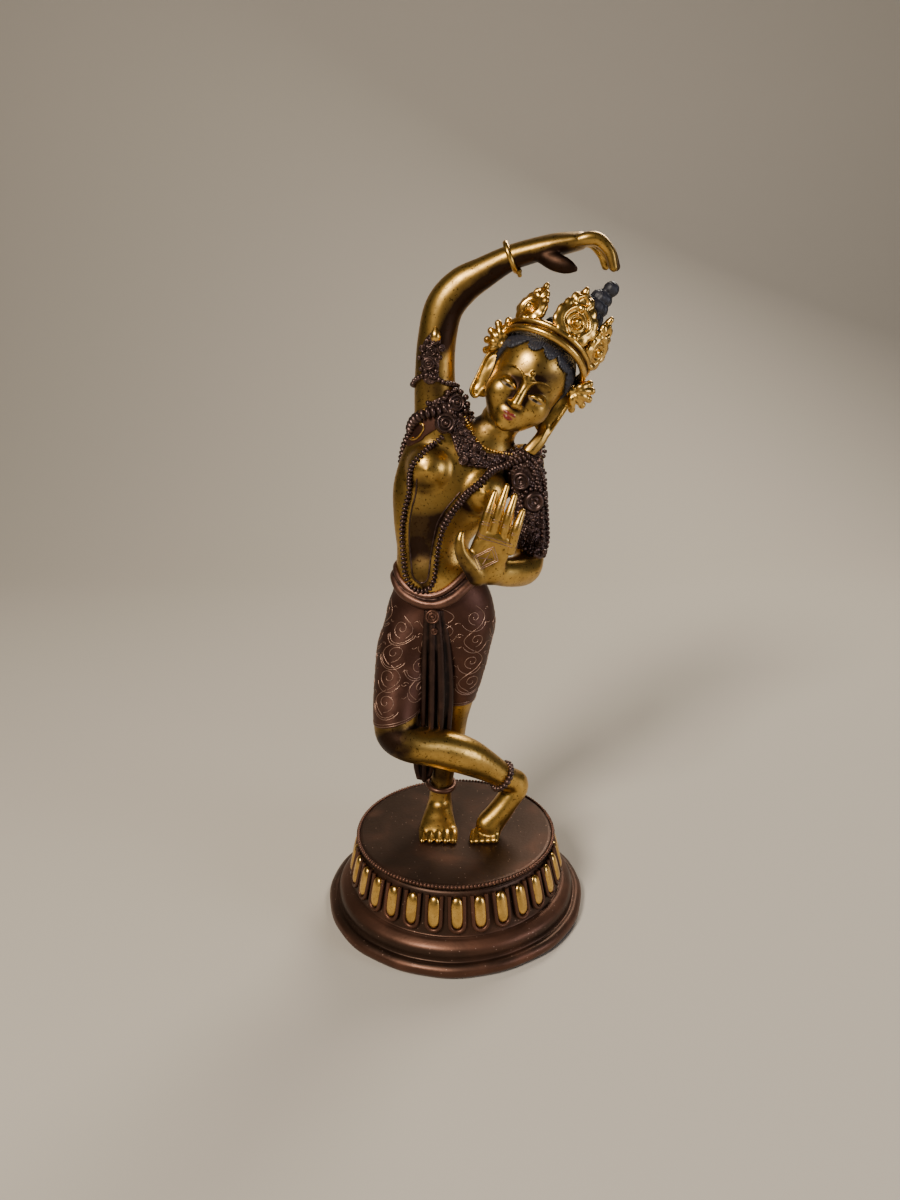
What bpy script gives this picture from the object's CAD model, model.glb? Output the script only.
# %% [markdown]
# A gilt goddess, dancing on a lotus pedestal.
# The real object is taken to be about 27 cm tall, and to be two hollow copper castings, chased, partly
# gilded and partly left brown. This lesson dresses the plain solids of the same figure. The frame is
# loaded first, because every later size is measured from it. Lengths below are in millimetres, and MM
# turns them to metres.

# %% Load the frame
import math
import bpy
import numpy as np
import openvdb
from mathutils import Matrix, Vector
from mathutils.bvhtree import BVHTree


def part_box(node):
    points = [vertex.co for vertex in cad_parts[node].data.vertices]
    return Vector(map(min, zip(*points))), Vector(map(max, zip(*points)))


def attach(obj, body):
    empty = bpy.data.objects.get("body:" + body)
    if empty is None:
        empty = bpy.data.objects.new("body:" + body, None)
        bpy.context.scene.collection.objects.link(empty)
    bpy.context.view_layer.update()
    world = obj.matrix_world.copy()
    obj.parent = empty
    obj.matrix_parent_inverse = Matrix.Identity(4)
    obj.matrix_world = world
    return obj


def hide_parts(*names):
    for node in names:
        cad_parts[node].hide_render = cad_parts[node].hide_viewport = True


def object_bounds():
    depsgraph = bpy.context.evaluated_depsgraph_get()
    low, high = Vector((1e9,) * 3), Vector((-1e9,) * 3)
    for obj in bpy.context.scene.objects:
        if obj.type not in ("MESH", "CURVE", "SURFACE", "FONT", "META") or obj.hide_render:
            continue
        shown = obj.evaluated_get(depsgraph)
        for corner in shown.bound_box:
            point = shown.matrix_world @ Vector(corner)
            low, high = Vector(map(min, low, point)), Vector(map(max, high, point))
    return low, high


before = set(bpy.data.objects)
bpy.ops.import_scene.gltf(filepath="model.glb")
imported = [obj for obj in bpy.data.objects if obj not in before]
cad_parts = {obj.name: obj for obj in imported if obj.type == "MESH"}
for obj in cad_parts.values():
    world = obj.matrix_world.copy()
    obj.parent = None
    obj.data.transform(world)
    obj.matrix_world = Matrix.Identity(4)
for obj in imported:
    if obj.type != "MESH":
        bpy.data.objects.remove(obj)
CAD_LOW, CAD_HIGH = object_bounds()
MM = 0.001
FIGURE, PEDESTAL = "goddess_figure", "lotus_pedestal"
GILT_SLOT, BROWN_SLOT = "gilt_copper", "brown_copper"
pedestal_low, pedestal_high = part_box(PEDESTAL)
FOOT_RADIUS = (pedestal_high.y - pedestal_low.y) / 2 / MM
DISC_HEIGHT = pedestal_high.z / MM
SOLIDS_HEIGHT = (CAD_HIGH.z - CAD_LOW.z) / MM
print("The solids stand", round(SOLIDS_HEIGHT, 1), "mm tall on a foot of radius", round(FOOT_RADIUS, 1))

# %% [markdown]
# The camera stands where the two round rims of the pedestal, seen in perspective, put it: about 1.24 times
# the figure's height away, which is a third of a metre at the size chosen, a little above the face and
# looking down. A wide lens this close is what makes the head large and the feet small, so the place has to
# be right before any shape is judged.

# %% Camera
CAMERA_PLACE = (-1.0, -335.0, 242.0)
CAMERA_PITCH = math.radians(17.7)
CAMERA_ROLL = math.radians(-0.8)
LENS, SENSOR_WIDTH = 27, 36
NEAREST_SEEN = 0.01
ahead = Vector((0, math.cos(CAMERA_PITCH), -math.sin(CAMERA_PITCH)))
level_up = Vector((0, math.sin(CAMERA_PITCH), math.cos(CAMERA_PITCH)))
across = math.cos(CAMERA_ROLL) * Vector((1, 0, 0)) + math.sin(CAMERA_ROLL) * level_up
upward = math.cos(CAMERA_ROLL) * level_up - math.sin(CAMERA_ROLL) * Vector((1, 0, 0))
camera = bpy.data.objects.new("camera", bpy.data.cameras.new("camera"))
camera.data.lens = LENS
camera.data.sensor_width = SENSOR_WIDTH
camera.data.clip_start = NEAREST_SEEN
camera.matrix_world = Matrix((across, upward, -ahead)).transposed().to_4x4()
camera.location = Vector(CAMERA_PLACE) * MM
bpy.context.scene.collection.objects.link(camera)
bpy.context.scene.camera = camera
print("The camera is", round(camera.location.length / MM), "mm from the middle of the foot")

# %% [markdown]
# Each finish is a small tree of shader nodes. One helper adds a node, sets it and links it, so that a
# finish reads as a list of what it is made of. Colours are written as on a paint chart and turned to
# the linear values that the renderer works with. Pattern sizes are real ones, in millimetres.

# %% Helpers for finishes
def linear(chart):
    """The linear colour of a six-digit hex value, and full cover."""
    parts = [int(chart[i:i + 2], 16) / 255 for i in (1, 3, 5)]
    return (*[p / 12.92 if p <= 0.04045 else ((p + 0.055) / 1.055) ** 2.4 for p in parts], 1.0)


def add(tree, kind, inputs=None, **settings):
    """Adds a node, sets its properties, and fills its inputs with values or with other nodes' outputs."""
    made = tree.nodes.new(kind)
    for name, value in settings.items():
        setattr(made, name, value)
    for key, value in (inputs or {}).items():
        if isinstance(value, bpy.types.NodeSocket):
            tree.links.new(value, made.inputs[key])
        else:
            made.inputs[key].default_value = value
    return made


def finish_tree(name):
    """A new material, with its node tree, its shader and its object coordinates."""
    material = bpy.data.materials.new(name)
    material.use_nodes = True
    tree = material.node_tree
    return material, tree, tree.nodes["Principled BSDF"], add(tree, "ShaderNodeTexCoord").outputs["Object"]


def per_mm(size):
    """The scale of a noise whose spots are about that many millimetres across."""
    return 1 / (size * MM)


COLOUR_A, COLOUR_B = 6, 7
print("A mid brown in linear values:", [round(v, 3) for v in linear("#6b4420")[:3]])

# %% [markdown]
# Fire gilding over copper. Gold is brushed on with mercury and heated, so it is a thin, soft, warm layer:
# bright where hands rub it, brown where it has worn or where grime stays in the hollows. Two noises
# spread the brown in clouds, a fine one adds dark pits, and the attributes "hollow" and "brown" that
# each mesh carries say where the real figure is darkest. Gold keeps the default index of refraction.

# %% Worn fire gilding
RUBBED_STREAKS, CASTING_PITS, HAMMERED_WAVES = 2.2, 0.9, 3.2


def fire_gilding(name, gold, rubbed, patina, roughness, cloud, pits):
    material, tree, shader, place = finish_tree(name)
    hollow = add(tree, "ShaderNodeAttribute", attribute_name="hollow").outputs["Fac"]
    brown = add(tree, "ShaderNodeAttribute", attribute_name="brown").outputs["Fac"]
    clouds = add(tree, "ShaderNodeTexNoise", {"Vector": place, "Scale": per_mm(cloud), "Detail": 5})
    streaks = add(tree, "ShaderNodeTexNoise", {
        "Vector": place, "Scale": per_mm(RUBBED_STREAKS), "Detail": 6, "Distortion": 0.6,
    })
    worn = add(tree, "ShaderNodeMapRange", {
        "Value": clouds.outputs["Fac"], 1: 0.42, 2: 0.72,
    }, interpolation_type="SMOOTHSTEP")
    grime = add(
        tree, "ShaderNodeMapRange", {"Value": hollow, 1: 0.5, 2: 0.86}, interpolation_type="SMOOTHSTEP",
    )
    tone = add(tree, "ShaderNodeMix", {
        "Factor": streaks.outputs["Fac"], COLOUR_A: linear(rubbed), COLOUR_B: linear(gold),
    }, data_type="RGBA")
    cover = add(tree, "ShaderNodeMath", {
        0: worn.outputs["Result"], 1: 0.3, 2: grime.outputs["Result"],
    }, operation="MULTIPLY_ADD")
    cover = add(
        tree, "ShaderNodeMath", {0: cover.outputs["Value"], 1: brown}, operation="ADD", use_clamp=True,
    )
    aged = add(tree, "ShaderNodeMix", {
        "Factor": cover.outputs["Value"], COLOUR_A: tone.outputs[2], COLOUR_B: linear(patina),
    }, data_type="RGBA")
    grain = add(tree, "ShaderNodeTexNoise", {"Vector": place, "Scale": per_mm(CASTING_PITS), "Detail": 3})
    spots = add(tree, "ShaderNodeMapRange", {"Value": grain.outputs["Fac"], 1: 0.61, 2: 0.67, 4: pits})
    colour = add(tree, "ShaderNodeMix", {
        "Factor": spots.outputs["Result"], COLOUR_A: aged.outputs[2], COLOUR_B: linear("#2a1709"),
    }, data_type="RGBA")
    gloss = add(tree, "ShaderNodeMapRange", {
        "Value": streaks.outputs["Fac"], 3: roughness - 0.06, 4: roughness + 0.1,
    })
    gloss = add(tree, "ShaderNodeMath", {
        0: cover.outputs["Value"], 1: 0.16, 2: gloss.outputs["Result"],
    }, operation="MULTIPLY_ADD")
    waves = add(tree, "ShaderNodeTexNoise", {"Vector": place, "Scale": per_mm(HAMMERED_WAVES), "Detail": 4})
    bump = add(tree, "ShaderNodeBump", {
        "Height": waves.outputs["Fac"], "Strength": 0.16, "Distance": 0.4 * MM,
    })
    shader.inputs["Metallic"].default_value = 1
    tree.links.new(colour.outputs[2], shader.inputs["Base Color"])
    tree.links.new(gloss.outputs["Value"], shader.inputs["Roughness"])
    tree.links.new(bump.outputs["Normal"], shader.inputs["Normal"])
    return material


GILDING = fire_gilding("worn_fire_gilding", "#a87e3b", "#dab460", "#2f2119", 0.29, 12, 0.8)
BRIGHT_GILDING = fire_gilding("bright_fire_gilding", "#bf9143", "#ecc470", "#3f2817", 0.26, 5, 0.3)
print("Gildings made:", GILDING.name, BRIGHT_GILDING.name)

# %% [markdown]
# Brown copper. The pedestal, trousers and belt were left ungilded and have oxidised to a reddish brown
# skin of copper oxide, half metal and half mineral, with a low sheen. Edges that are handled show the
# redder metal, and the skin is peppered with tiny pale specks. The jewels are the same copper, gone
# nearly black, with copper showing only on the tops of the beads.

# %% Oxidised copper
PALE_SPECKS, OXIDE_GRAIN = 2.4, 1.4


def oxidised_copper(name, skin, metal, roughness, edge, cloud=9, specks=0.5, metallic=0.8):
    material, tree, shader, place = finish_tree(name)
    hollow = add(tree, "ShaderNodeAttribute", attribute_name="hollow").outputs["Fac"]
    clouds = add(tree, "ShaderNodeTexNoise", {
        "Vector": place, "Scale": per_mm(cloud), "Detail": 6, "Distortion": 0.4,
    })
    rubbed = add(tree, "ShaderNodeMapRange", {
        "Value": hollow, 1: 0.46, 2: 0.22, 4: edge,
    }, interpolation_type="SMOOTHSTEP")
    worn = add(tree, "ShaderNodeMapRange", {
        "Value": clouds.outputs["Fac"], 1: 0.45, 2: 0.78, 4: 0.42,
    }, interpolation_type="SMOOTHSTEP")
    bare = add(tree, "ShaderNodeMath", {
        0: rubbed.outputs["Result"], 1: worn.outputs["Result"],
    }, operation="ADD", use_clamp=True)
    colour = add(tree, "ShaderNodeMix", {
        "Factor": bare.outputs["Value"], COLOUR_A: linear(skin), COLOUR_B: linear(metal),
    }, data_type="RGBA")
    dust = add(tree, "ShaderNodeTexVoronoi", {"Vector": place, "Scale": per_mm(PALE_SPECKS)})
    dots = add(tree, "ShaderNodeMapRange", {"Value": dust.outputs["Distance"], 1: 0.11, 2: 0.07, 4: specks})
    colour = add(tree, "ShaderNodeMix", {
        "Factor": dots.outputs["Result"], COLOUR_A: colour.outputs[2], COLOUR_B: linear("#a08272"),
    }, data_type="RGBA")
    gloss = add(tree, "ShaderNodeMapRange", {
        "Value": clouds.outputs["Fac"], 1: 0.3, 2: 0.7, 3: roughness - 0.07, 4: roughness + 0.1,
    })
    grain = add(tree, "ShaderNodeTexNoise", {"Vector": place, "Scale": per_mm(OXIDE_GRAIN), "Detail": 4})
    bump = add(tree, "ShaderNodeBump", {
        "Height": grain.outputs["Fac"], "Strength": 0.2, "Distance": 0.25 * MM,
    })
    shader.inputs["Metallic"].default_value = metallic
    tree.links.new(colour.outputs[2], shader.inputs["Base Color"])
    tree.links.new(gloss.outputs["Result"], shader.inputs["Roughness"])
    tree.links.new(bump.outputs["Normal"], shader.inputs["Normal"])
    return material


BASE_COPPER = oxidised_copper("brown_oxidised_copper", "#3c2b21", "#6c4736", 0.42, 0.42, 18, 0.75)
CLOTH_COPPER = oxidised_copper("red_brown_chased_copper", "#432a21", "#614033", 0.44, 0.3, 8, 0.1)
BELT_COPPER = oxidised_copper("rubbed_belt_copper", "#33221c", "#7a5544", 0.4, 0.45, 5, 0.1)
JEWEL_COPPER = oxidised_copper("blackened_jewel_copper", "#191315", "#735950", 0.31, 0.32, 2.5, 0.1)
DARK_CLOTH_COPPER = oxidised_copper("blackened_cloth_copper", "#191211", "#4c352b", 0.42, 0.4, 4, 0.1)
LINE_COPPER = oxidised_copper("bright_engraved_copper", "#6b5145", "#ab8a76", 0.34, 0.5, 3, 0.0)
print("Coppers made:", BASE_COPPER.name, CLOTH_COPPER.name, JEWEL_COPPER.name)

# %% [markdown]
# Paint. The hair is coloured with ground blue mineral in glue, almost black with age and quite matt, and
# the lips and eyes are touched in with red, white and brown over the gilding. The paint on the face is
# mixed in by vertex attributes, so that its edge follows the modelled lips and lids.

# %% Painted hair and painted face
PAINT_GRAIN = 2.5
FACE_PAINTS = (("lip_paint", "#6e1f1c"), ("eye_white", "#8d8070"), ("eye_dark", "#120c0a"))


def painted_hair():
    material, tree, shader, place = finish_tree("aged_blue_hair_paint")
    dust = add(tree, "ShaderNodeTexNoise", {"Vector": place, "Scale": per_mm(PAINT_GRAIN), "Detail": 6})
    hollow = add(tree, "ShaderNodeAttribute", attribute_name="hollow").outputs["Fac"]
    worn = add(tree, "ShaderNodeMapRange", {"Value": hollow, 1: 0.5, 2: 0.3, 4: 0.3})
    tone = add(tree, "ShaderNodeMix", {
        "Factor": dust.outputs["Fac"], COLOUR_A: linear("#0c0d13"), COLOUR_B: linear("#1d1f2a"),
    }, data_type="RGBA")
    colour = add(tree, "ShaderNodeMix", {
        "Factor": worn.outputs["Result"], COLOUR_A: tone.outputs[2], COLOUR_B: linear("#2b2b33"),
    }, data_type="RGBA")
    bump = add(tree, "ShaderNodeBump", {
        "Height": dust.outputs["Fac"], "Strength": 0.25, "Distance": 0.2 * MM,
    })
    shader.inputs["Roughness"].default_value = 0.52
    tree.links.new(colour.outputs[2], shader.inputs["Base Color"])
    tree.links.new(bump.outputs["Normal"], shader.inputs["Normal"])
    return material


def painted_face():
    material = GILDING.copy()
    material.name = "gilded_and_painted_face"
    tree = material.node_tree
    shader = tree.nodes["Principled BSDF"]
    colour = shader.inputs["Base Color"].links[0].from_socket
    covered = None
    for attribute, paint in FACE_PAINTS:
        mask = add(tree, "ShaderNodeAttribute", attribute_name=attribute).outputs["Fac"]
        mixed = add(tree, "ShaderNodeMix", {
            "Factor": mask, COLOUR_A: colour, COLOUR_B: linear(paint),
        }, data_type="RGBA")
        colour = mixed.outputs[2]
        if covered:
            mask = add(tree, "ShaderNodeMath", {0: covered, 1: mask}, operation="MAXIMUM").outputs["Value"]
        covered = mask
    bare = add(tree, "ShaderNodeMath", {0: 1.0, 1: covered}, operation="SUBTRACT")
    tree.links.new(colour, shader.inputs["Base Color"])
    tree.links.new(bare.outputs["Value"], shader.inputs["Metallic"])
    return material


HAIR_PAINT = painted_hair()
FACE_FINISH = painted_face()
print("Paints made:", HAIR_PAINT.name, FACE_FINISH.name)

# %% [markdown]
# The body is modelled as the founder's wax was: rounded limbs and eggs pressed together so that they
# flow into each other. In code that wax is a block of grid points, each holding its distance to the
# surface. A soft minimum joins two shapes with a fillet, and one pass over the grid gives the skin. It
# takes more memory than subdivision surfaces do, but knees, necks and fingers blend by themselves.

# %% Smooth curves
def smooth_path(stations, steps=6, closed=False):
    """Rows on a smooth curve through the given rows, whatever their columns hold."""
    rows = np.array(stations, float)
    if closed:
        rows = np.vstack([rows[-1:], rows, rows[:2]])
    else:
        rows = np.vstack([2 * rows[:1] - rows[1:2], rows, 2 * rows[-1:] - rows[-2:-1]])
    t = np.arange(steps)[:, None] / steps
    found = []
    for a, b, c, d in zip(rows, rows[1:], rows[2:], rows[3:]):
        bend = (2 * a - 5 * b + 4 * c - d) * t ** 2 + (3 * b - a - 3 * c + d) * t ** 3
        found.append(b + 0.5 * ((c - a) * t + bend))
    found.append(rows[1:2] if closed else rows[-2:-1])
    return np.vstack(found)


def spaced(path, pitch):
    """The same path with its rows a pitch apart."""
    run = np.concatenate([[0], np.cumsum(np.linalg.norm(np.diff(path[:, :3], axis=0), axis=1))])
    marks = np.linspace(0, run[-1], max(2, round(run[-1] / pitch) + 1))
    return np.stack([np.interp(marks, run, column) for column in path.T], 1)


print("A curve through 3 points, 2 steps each:", smooth_path([(0, 0), (1, 1), (2, 0)], 2).round(2).tolist())

# %% The clay
FAR, BAND = 6.0, 3.0


def soft_min(a, b, blend):
    share = np.clip(0.5 + 0.5 * (b - a) / blend, 0, 1)
    return b + (a - b) * share - blend * share * (1 - share)


def rod(x, y, z, a, b, deep):
    """Distance to a tapering rod between two stations of x, y, z, half width and half depth."""
    length = max(np.linalg.norm(b[:3] - a[:3]), 1e-6)
    axis = (b[:3] - a[:3]) / length
    wide = np.cross(deep, axis)
    wide /= np.linalg.norm(wide)
    thick = np.cross(axis, wide)
    along, u, v = ((x - a[0]) * n[0] + (y - a[1]) * n[1] + (z - a[2]) * n[2] for n in (axis, wide, thick))
    share = np.clip(along / length, 0, 1)
    half_wide, half_deep = (a[i] + (b[i] - a[i]) * share for i in (3, 4))
    least = np.minimum(half_wide, half_deep)
    u, v, w = u / half_wide, v / half_deep, (along - share * length) / least
    size = np.sqrt(u * u + v * v + w * w + 1e-4)
    slope = np.sqrt((u / half_wide) ** 2 + (v / half_deep) ** 2 + (w / least) ** 2 + 1e-4 / least ** 2)
    return size * (size - 1) / slope


def blurred(field, times):
    for _ in range(times):
        for axis in range(3):
            turned = np.moveaxis(field, axis, 0)
            middle = (turned[:-2] + 2 * turned[1:-1] + turned[2:]) / 4
            field = np.moveaxis(np.concatenate([turned[:1], middle, turned[-1:]]), 0, axis)
    return field


def read_between(field, where):
    """Values of a grid at places given in grid steps."""
    low = np.clip(np.floor(where).astype(int), 0, np.array(field.shape) - 2)
    part = np.clip(where - low, 0, 1)
    total = np.zeros(len(where))
    for corner in np.ndindex(2, 2, 2):
        weight = np.prod(np.where(corner, part, 1 - part), axis=1)
        total += weight * field[tuple((low + corner).T)]
    return total


class Clay:
    """A block of clay: distances to a surface, negative inside, on a grid of points."""

    def __init__(self, low, high, pitch):
        self.low = np.array(low, float)
        self.pitch = pitch
        count = np.ceil((np.array(high) - self.low) / pitch).astype(int) + 1
        self.field = np.full(count, FAR, np.float32)

    def window(self, low, high):
        """The slices of the block between two corners, and the x, y and z of its points there."""
        shape = np.array(self.field.shape)
        first = np.clip(np.floor((np.array(low) - self.low) / self.pitch).astype(int), 0, shape - 1)
        last = np.clip(np.ceil((np.array(high) - self.low) / self.pitch).astype(int) + 1, first + 1, shape)
        lines = [self.low[i] + self.pitch * np.arange(first[i], last[i]) for i in range(3)]
        xyz = np.meshgrid(*[line.astype(np.float32) for line in lines], indexing="ij", sparse=True)
        return tuple(slice(a, b) for a, b in zip(first, last)), xyz

    def everywhere(self):
        """The x, y and z of all the points of the block."""
        return self.window(self.low, self.low + self.pitch * np.array(self.field.shape))[1]

    def press(self, part, distance, blend, carve=False):
        """Joins a shape to the clay with a soft fillet, or carves it out."""
        here = self.field[part]
        self.field[part] = -soft_min(-here, distance, blend) if carve else soft_min(here, distance, blend)

    def limb(self, stations, blend=1.5, deep=(0, 1, 0), closed=False, steps=6, carve=False, until=()):
        """A rounded limb through stations of x, y, z, half width and perhaps half depth."""
        rows = [row if len(row) == 5 else (*row, row[3]) for row in stations]
        path = smooth_path(rows, steps, closed)
        margin = path[:, 3:].max() + blend + BAND
        part, xyz = self.window(path[:, :3].min(0) - margin, path[:, :3].max(0) + margin)
        fresh = np.full(self.field[part].shape, FAR, np.float32)
        start = np.array([s.start for s in part])
        for a, b in zip(path, path[1:]):
            reach = max(a[3:].max(), b[3:].max()) + blend + BAND
            near, (x, y, z) = self.window(np.minimum(a, b)[:3] - reach, np.maximum(a, b)[:3] + reach)
            local = tuple(slice(s.start - o, s.stop - o) for s, o in zip(near, start))
            fresh[local] = np.minimum(fresh[local], rod(x, y, z, a, b, deep))
        for point, normal in until:
            side = sum((g - p) * n for g, p, n in zip(xyz, point, normal))
            fresh = np.maximum(fresh, side)
        self.press(part, fresh, blend, carve)

    def egg(self, centre, radii, blend=1.5, tilt=0, carve=False):
        """An ellipsoid, turned about the y axis by tilt degrees."""
        margin = max(radii) + blend + BAND
        part, (x, y, z) = self.window(np.array(centre) - margin, np.array(centre) + margin)
        angle = math.radians(tilt)
        x, y, z = x - centre[0], y - centre[1], z - centre[2]
        u = (x * math.cos(angle) - z * math.sin(angle)) / radii[0]
        w = (x * math.sin(angle) + z * math.cos(angle)) / radii[2]
        v = y / radii[1]
        size = np.sqrt(u * u + v * v + w * w + 1e-4)
        slope = (u / radii[0]) ** 2 + (v / radii[1]) ** 2 + (w / radii[2]) ** 2 + 1e-4 / min(radii) ** 2
        self.press(part, (size * (size - 1) / np.sqrt(slope)).astype(np.float32), blend, carve)

    def cut(self, point, normal):
        """Cuts everything off on the far side of a plane."""
        side = sum((g - p) * n for g, p, n in zip(self.everywhere(), point, normal))
        self.field = np.maximum(self.field, side.astype(np.float32))

    def skin(self, soften=1, coarse=3):
        """Points, faces and how hollow the surface is at each point, from 0 on a ridge to 1 in a crease."""
        field = blurred(np.clip(self.field, -BAND, BAND), soften)
        grid = openvdb.FloatGrid(BAND)
        grid.copyFromArray(np.ascontiguousarray(field, np.float32))
        points, quads = grid.convertToQuads(0.0)
        quads = quads.astype(int)
        broad = blurred(field[::coarse, ::coarse, ::coarse], 4)
        rise = read_between(broad, points / coarse)
        hollow = np.clip(0.5 - rise / (self.pitch * coarse), 0, 1)
        points = self.low + points * self.pitch
        if signed_volume(points, quads) < 0:
            quads = quads[:, ::-1]
        return points, quads, hollow


def signed_volume(points, quads):
    a, b, c, d = (points[quads[:, i]] for i in range(4))
    return (np.einsum("ij,ij->i", a, np.cross(b, c)) + np.einsum("ij,ij->i", a, np.cross(c, d))).sum()


test = Clay((-5, -5, -5), (5, 5, 5), 0.5)
test.egg((0, 0, 0), (4, 4, 4))
print("A test ball has", len(test.skin()[1]), "faces")

# %% [markdown]
# A skin becomes a piece of the scene with its place in its mesh and its object at the origin. Each piece
# rides on the one body, names the solid it stands for and takes its finish from a slot of the record.

# %% From arrays to pieces
triangles_made = {}


def merged(parts):
    """Several (points, faces, hollow) skins as one."""
    points, faces, hollow, start = [], [], [], 0
    for part_points, part_faces, part_hollow in parts:
        points.append(np.asarray(part_points))
        faces.extend([[i + start for i in face] for face in np.asarray(part_faces).tolist()])
        hollow.append(np.broadcast_to(part_hollow, len(part_points)))
        start += len(part_points)
    return np.vstack(points), faces, np.concatenate(hollow)


def mesh_piece(name, points, faces, material, attributes=None):
    """A mesh object made of points in millimetres, with float attributes on them."""
    mesh = bpy.data.meshes.new(name)
    faces = faces.tolist() if isinstance(faces, np.ndarray) else faces
    mesh.from_pydata((np.asarray(points, float) * MM).tolist(), [], faces)
    mesh.polygons.foreach_set("use_smooth", [True] * len(mesh.polygons))
    mesh.materials.append(material)
    for attribute, values in (attributes or {}).items():
        data = mesh.attributes.new(attribute, "FLOAT", "POINT").data
        data.foreach_set("value", np.broadcast_to(values, len(points)).astype(np.float32))
    made = bpy.data.objects.new(name, mesh)
    bpy.context.scene.collection.objects.link(made)
    return made


def keep(piece, stands_for=FIGURE):
    """Hands a finished piece to the frame."""
    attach(piece, "root")
    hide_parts(stands_for)
    count = sum(len(face.vertices) - 2 for face in piece.data.polygons)
    triangles_made[piece.name] = count
    print(piece.name, "has", count, "triangles")
    return piece


def clay_piece(name, skin, material, slot=GILT_SLOT, **attributes):
    """Keeps a skin as a piece, with how hollow it is, and any more attributes, on its points."""
    points, faces, hollow = skin
    return keep(mesh_piece(name, points, faces, material, {"hollow": hollow, **attributes}))


def moved(skin, matrix):
    """The skin with its points, in millimetres, moved by a matrix."""
    m = np.array(matrix)
    return (np.asarray(skin[0]) @ m[:3, :3].T + m[:3, 3], *skin[1:])


def streak(stations, radius, strength):
    """A row of soft stains that run together along a route."""
    return [(tuple(row), radius, strength * 1.1 / radius) for row in spaced(smooth_path(stations, 6), 2)]


def stained(points, stains):
    """How brown each point is, from soft round stains of centre, radius and strength."""
    total = np.zeros(len(points))
    for centre, radius, strength in stains:
        total += strength * np.exp(-((np.linalg.norm(points - np.array(centre), axis=1) / radius) ** 2))
    return total


# %% [markdown]
# The upper body: trunk, shoulders, neck and both arms with their hands. The hips push to one side and
# the chest leans to the other, so the trunk is a bent limb, and the breasts, belly and shoulders are
# eggs pressed into it. One block holds it all, so that arm and chest blend where they meet.

# %% Trunk and neck
ARM_BLEND = 3.0
upper = Clay((-33, -33, 132), (64, 24, 270), 0.62)
TRUNK = [
    (-6, 3, 119, 17.5, 11), (-4.6, 2, 130, 20.4, 12.6), (-4.9, 1, 139, 17.6, 11.6),
    (-6.6, 0.4, 148, 15.2, 10.6), (-7.3, 0.5, 157, 13.8, 9.8), (-6.4, 1.5, 166, 16, 10.2),
    (-2.9, 2.5, 175.5, 20, 10.8), (3.2, 3, 186, 21.4, 10), (9, 4.5, 195, 16.4, 8),
]
NECK = [
    (11.5, 6, 188, 9, 8), (15.5, 5.5, 197.5, 8.2, 8), (19, 4.5, 203.5, 7.8, 8), (24.5, 3.4, 212, 8.2, 8.4),
]
upper.limb(TRUNK, 2.5)
for side_x, side_z in ((-8, 187.5), (12.6, 178.6)):
    upper.egg((side_x, -3.8, side_z), (8.4, 7.8, 8.2), 2.2, tilt=26)
    upper.egg((side_x - 0.6, -11.4, side_z + 0.3), (0.9, 0.8, 0.9), 0.6)
upper.egg((-8, -3.8, 147.5), (10.5, 7, 9), 3)
upper.egg((-2.5, 3.5, 203), (10, 7.2, 9), 3, tilt=-20)
upper.egg((27.2, 4, 187.2), (7.6, 7, 7.4), 3)
upper.limb(NECK, 3)
upper.egg((-11.9, -10.9, 147.1), (1.3, 0.9, 1.3), 0.9, carve=True)
print("Trunk and neck pressed together")

# %% Raised arm and its hand
RAISED_ARM = [
    (-3.6, 4, 198, 9.2, 7.8), (-5.2, 4, 209.6, 8, 7.6), (-5.3, 3.2, 221.5, 7.3, 7.2),
    (-4.4, 2.4, 232.7, 7, 6.8), (-1.7, 2, 243.6, 6.9, 6.6), (4.4, 1, 250.6, 6.5, 6.2),
    (12, -0.6, 255, 5.4, 5.5), (20.7, -2, 259.4, 4.4, 5), (28.3, -3.4, 261.7, 4.1, 5.8),
    (37, -4.4, 263.6, 3.9, 6.8), (45, -5, 264.8, 3.1, 6.6),
]
upper.limb(RAISED_ARM, ARM_BLEND)
raised_fingers = Clay((41, -16, 251), (61, 6, 270), 0.32)
for i, reach in enumerate((0, 1.4, 0.8, -1)):
    row = -10.2 + 3.55 * i
    raised_fingers.limb([
        (41, row * 0.8 - 1, 263.4, 1.2), (46, row, 265, 2.2), (50.5 + reach * 0.4, row - 0.3, 264.8, 2.2),
        (54.3 + reach * 0.7, row - 0.6, 261, 1.9), (56 + reach, row - 0.8, 255.8 + i / 3, 1.45),
    ], 0.4)
upper.limb([(42, -4.9, 264.7, 1.6, 6.2), (47.5, -5.2, 264.7, 1.3, 5.6)], 1.4)
upper.limb([
    (31, -6.5, 260.6, 2.4, 2.6), (36, -10.2, 258, 3.1, 2.1), (40, -11.8, 256.4, 2.6, 1.7),
    (43, -12.4, 255.4, 1, 1),
], 0.8)
print("Raised arm pressed on")

# %% Greeting arm and its open hand
ELBOW_SIDE = (0.3, 1, 0)
GREETING_ARM = [
    (27.6, 4, 187, 7, 7), (28.6, 3.4, 176, 6, 6.4), (29.2, 1.4, 164, 5.8, 6), (29.4, -2.4, 154, 5.8, 5.9),
    (27.2, -8, 149.8, 6.1, 5.8), (21.4, -15, 150.4, 5.6, 5.6), (14.6, -21, 152.6, 5, 5),
]
PALM = [(12.6, -22.4, 152.4, 5.2, 4), (12.8, -24.2, 159, 7, 3.2), (15.6, -24.6, 166.4, 7, 2.4)]
FINGER_BASES = [(10.9, 168.4), (14.7, 168.6), (18.3, 167.2), (21.5, 165)]
FINGER_TIPS = [(15.2, 182), (19.4, 184), (22.2, 180.6), (25, 175)]
fingers = Clay((5, -32, 158), (30, -18, 188), 0.3)
upper.limb(GREETING_ARM, 2, ELBOW_SIDE)
upper.limb(PALM, 2)
finger_routes = []
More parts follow.
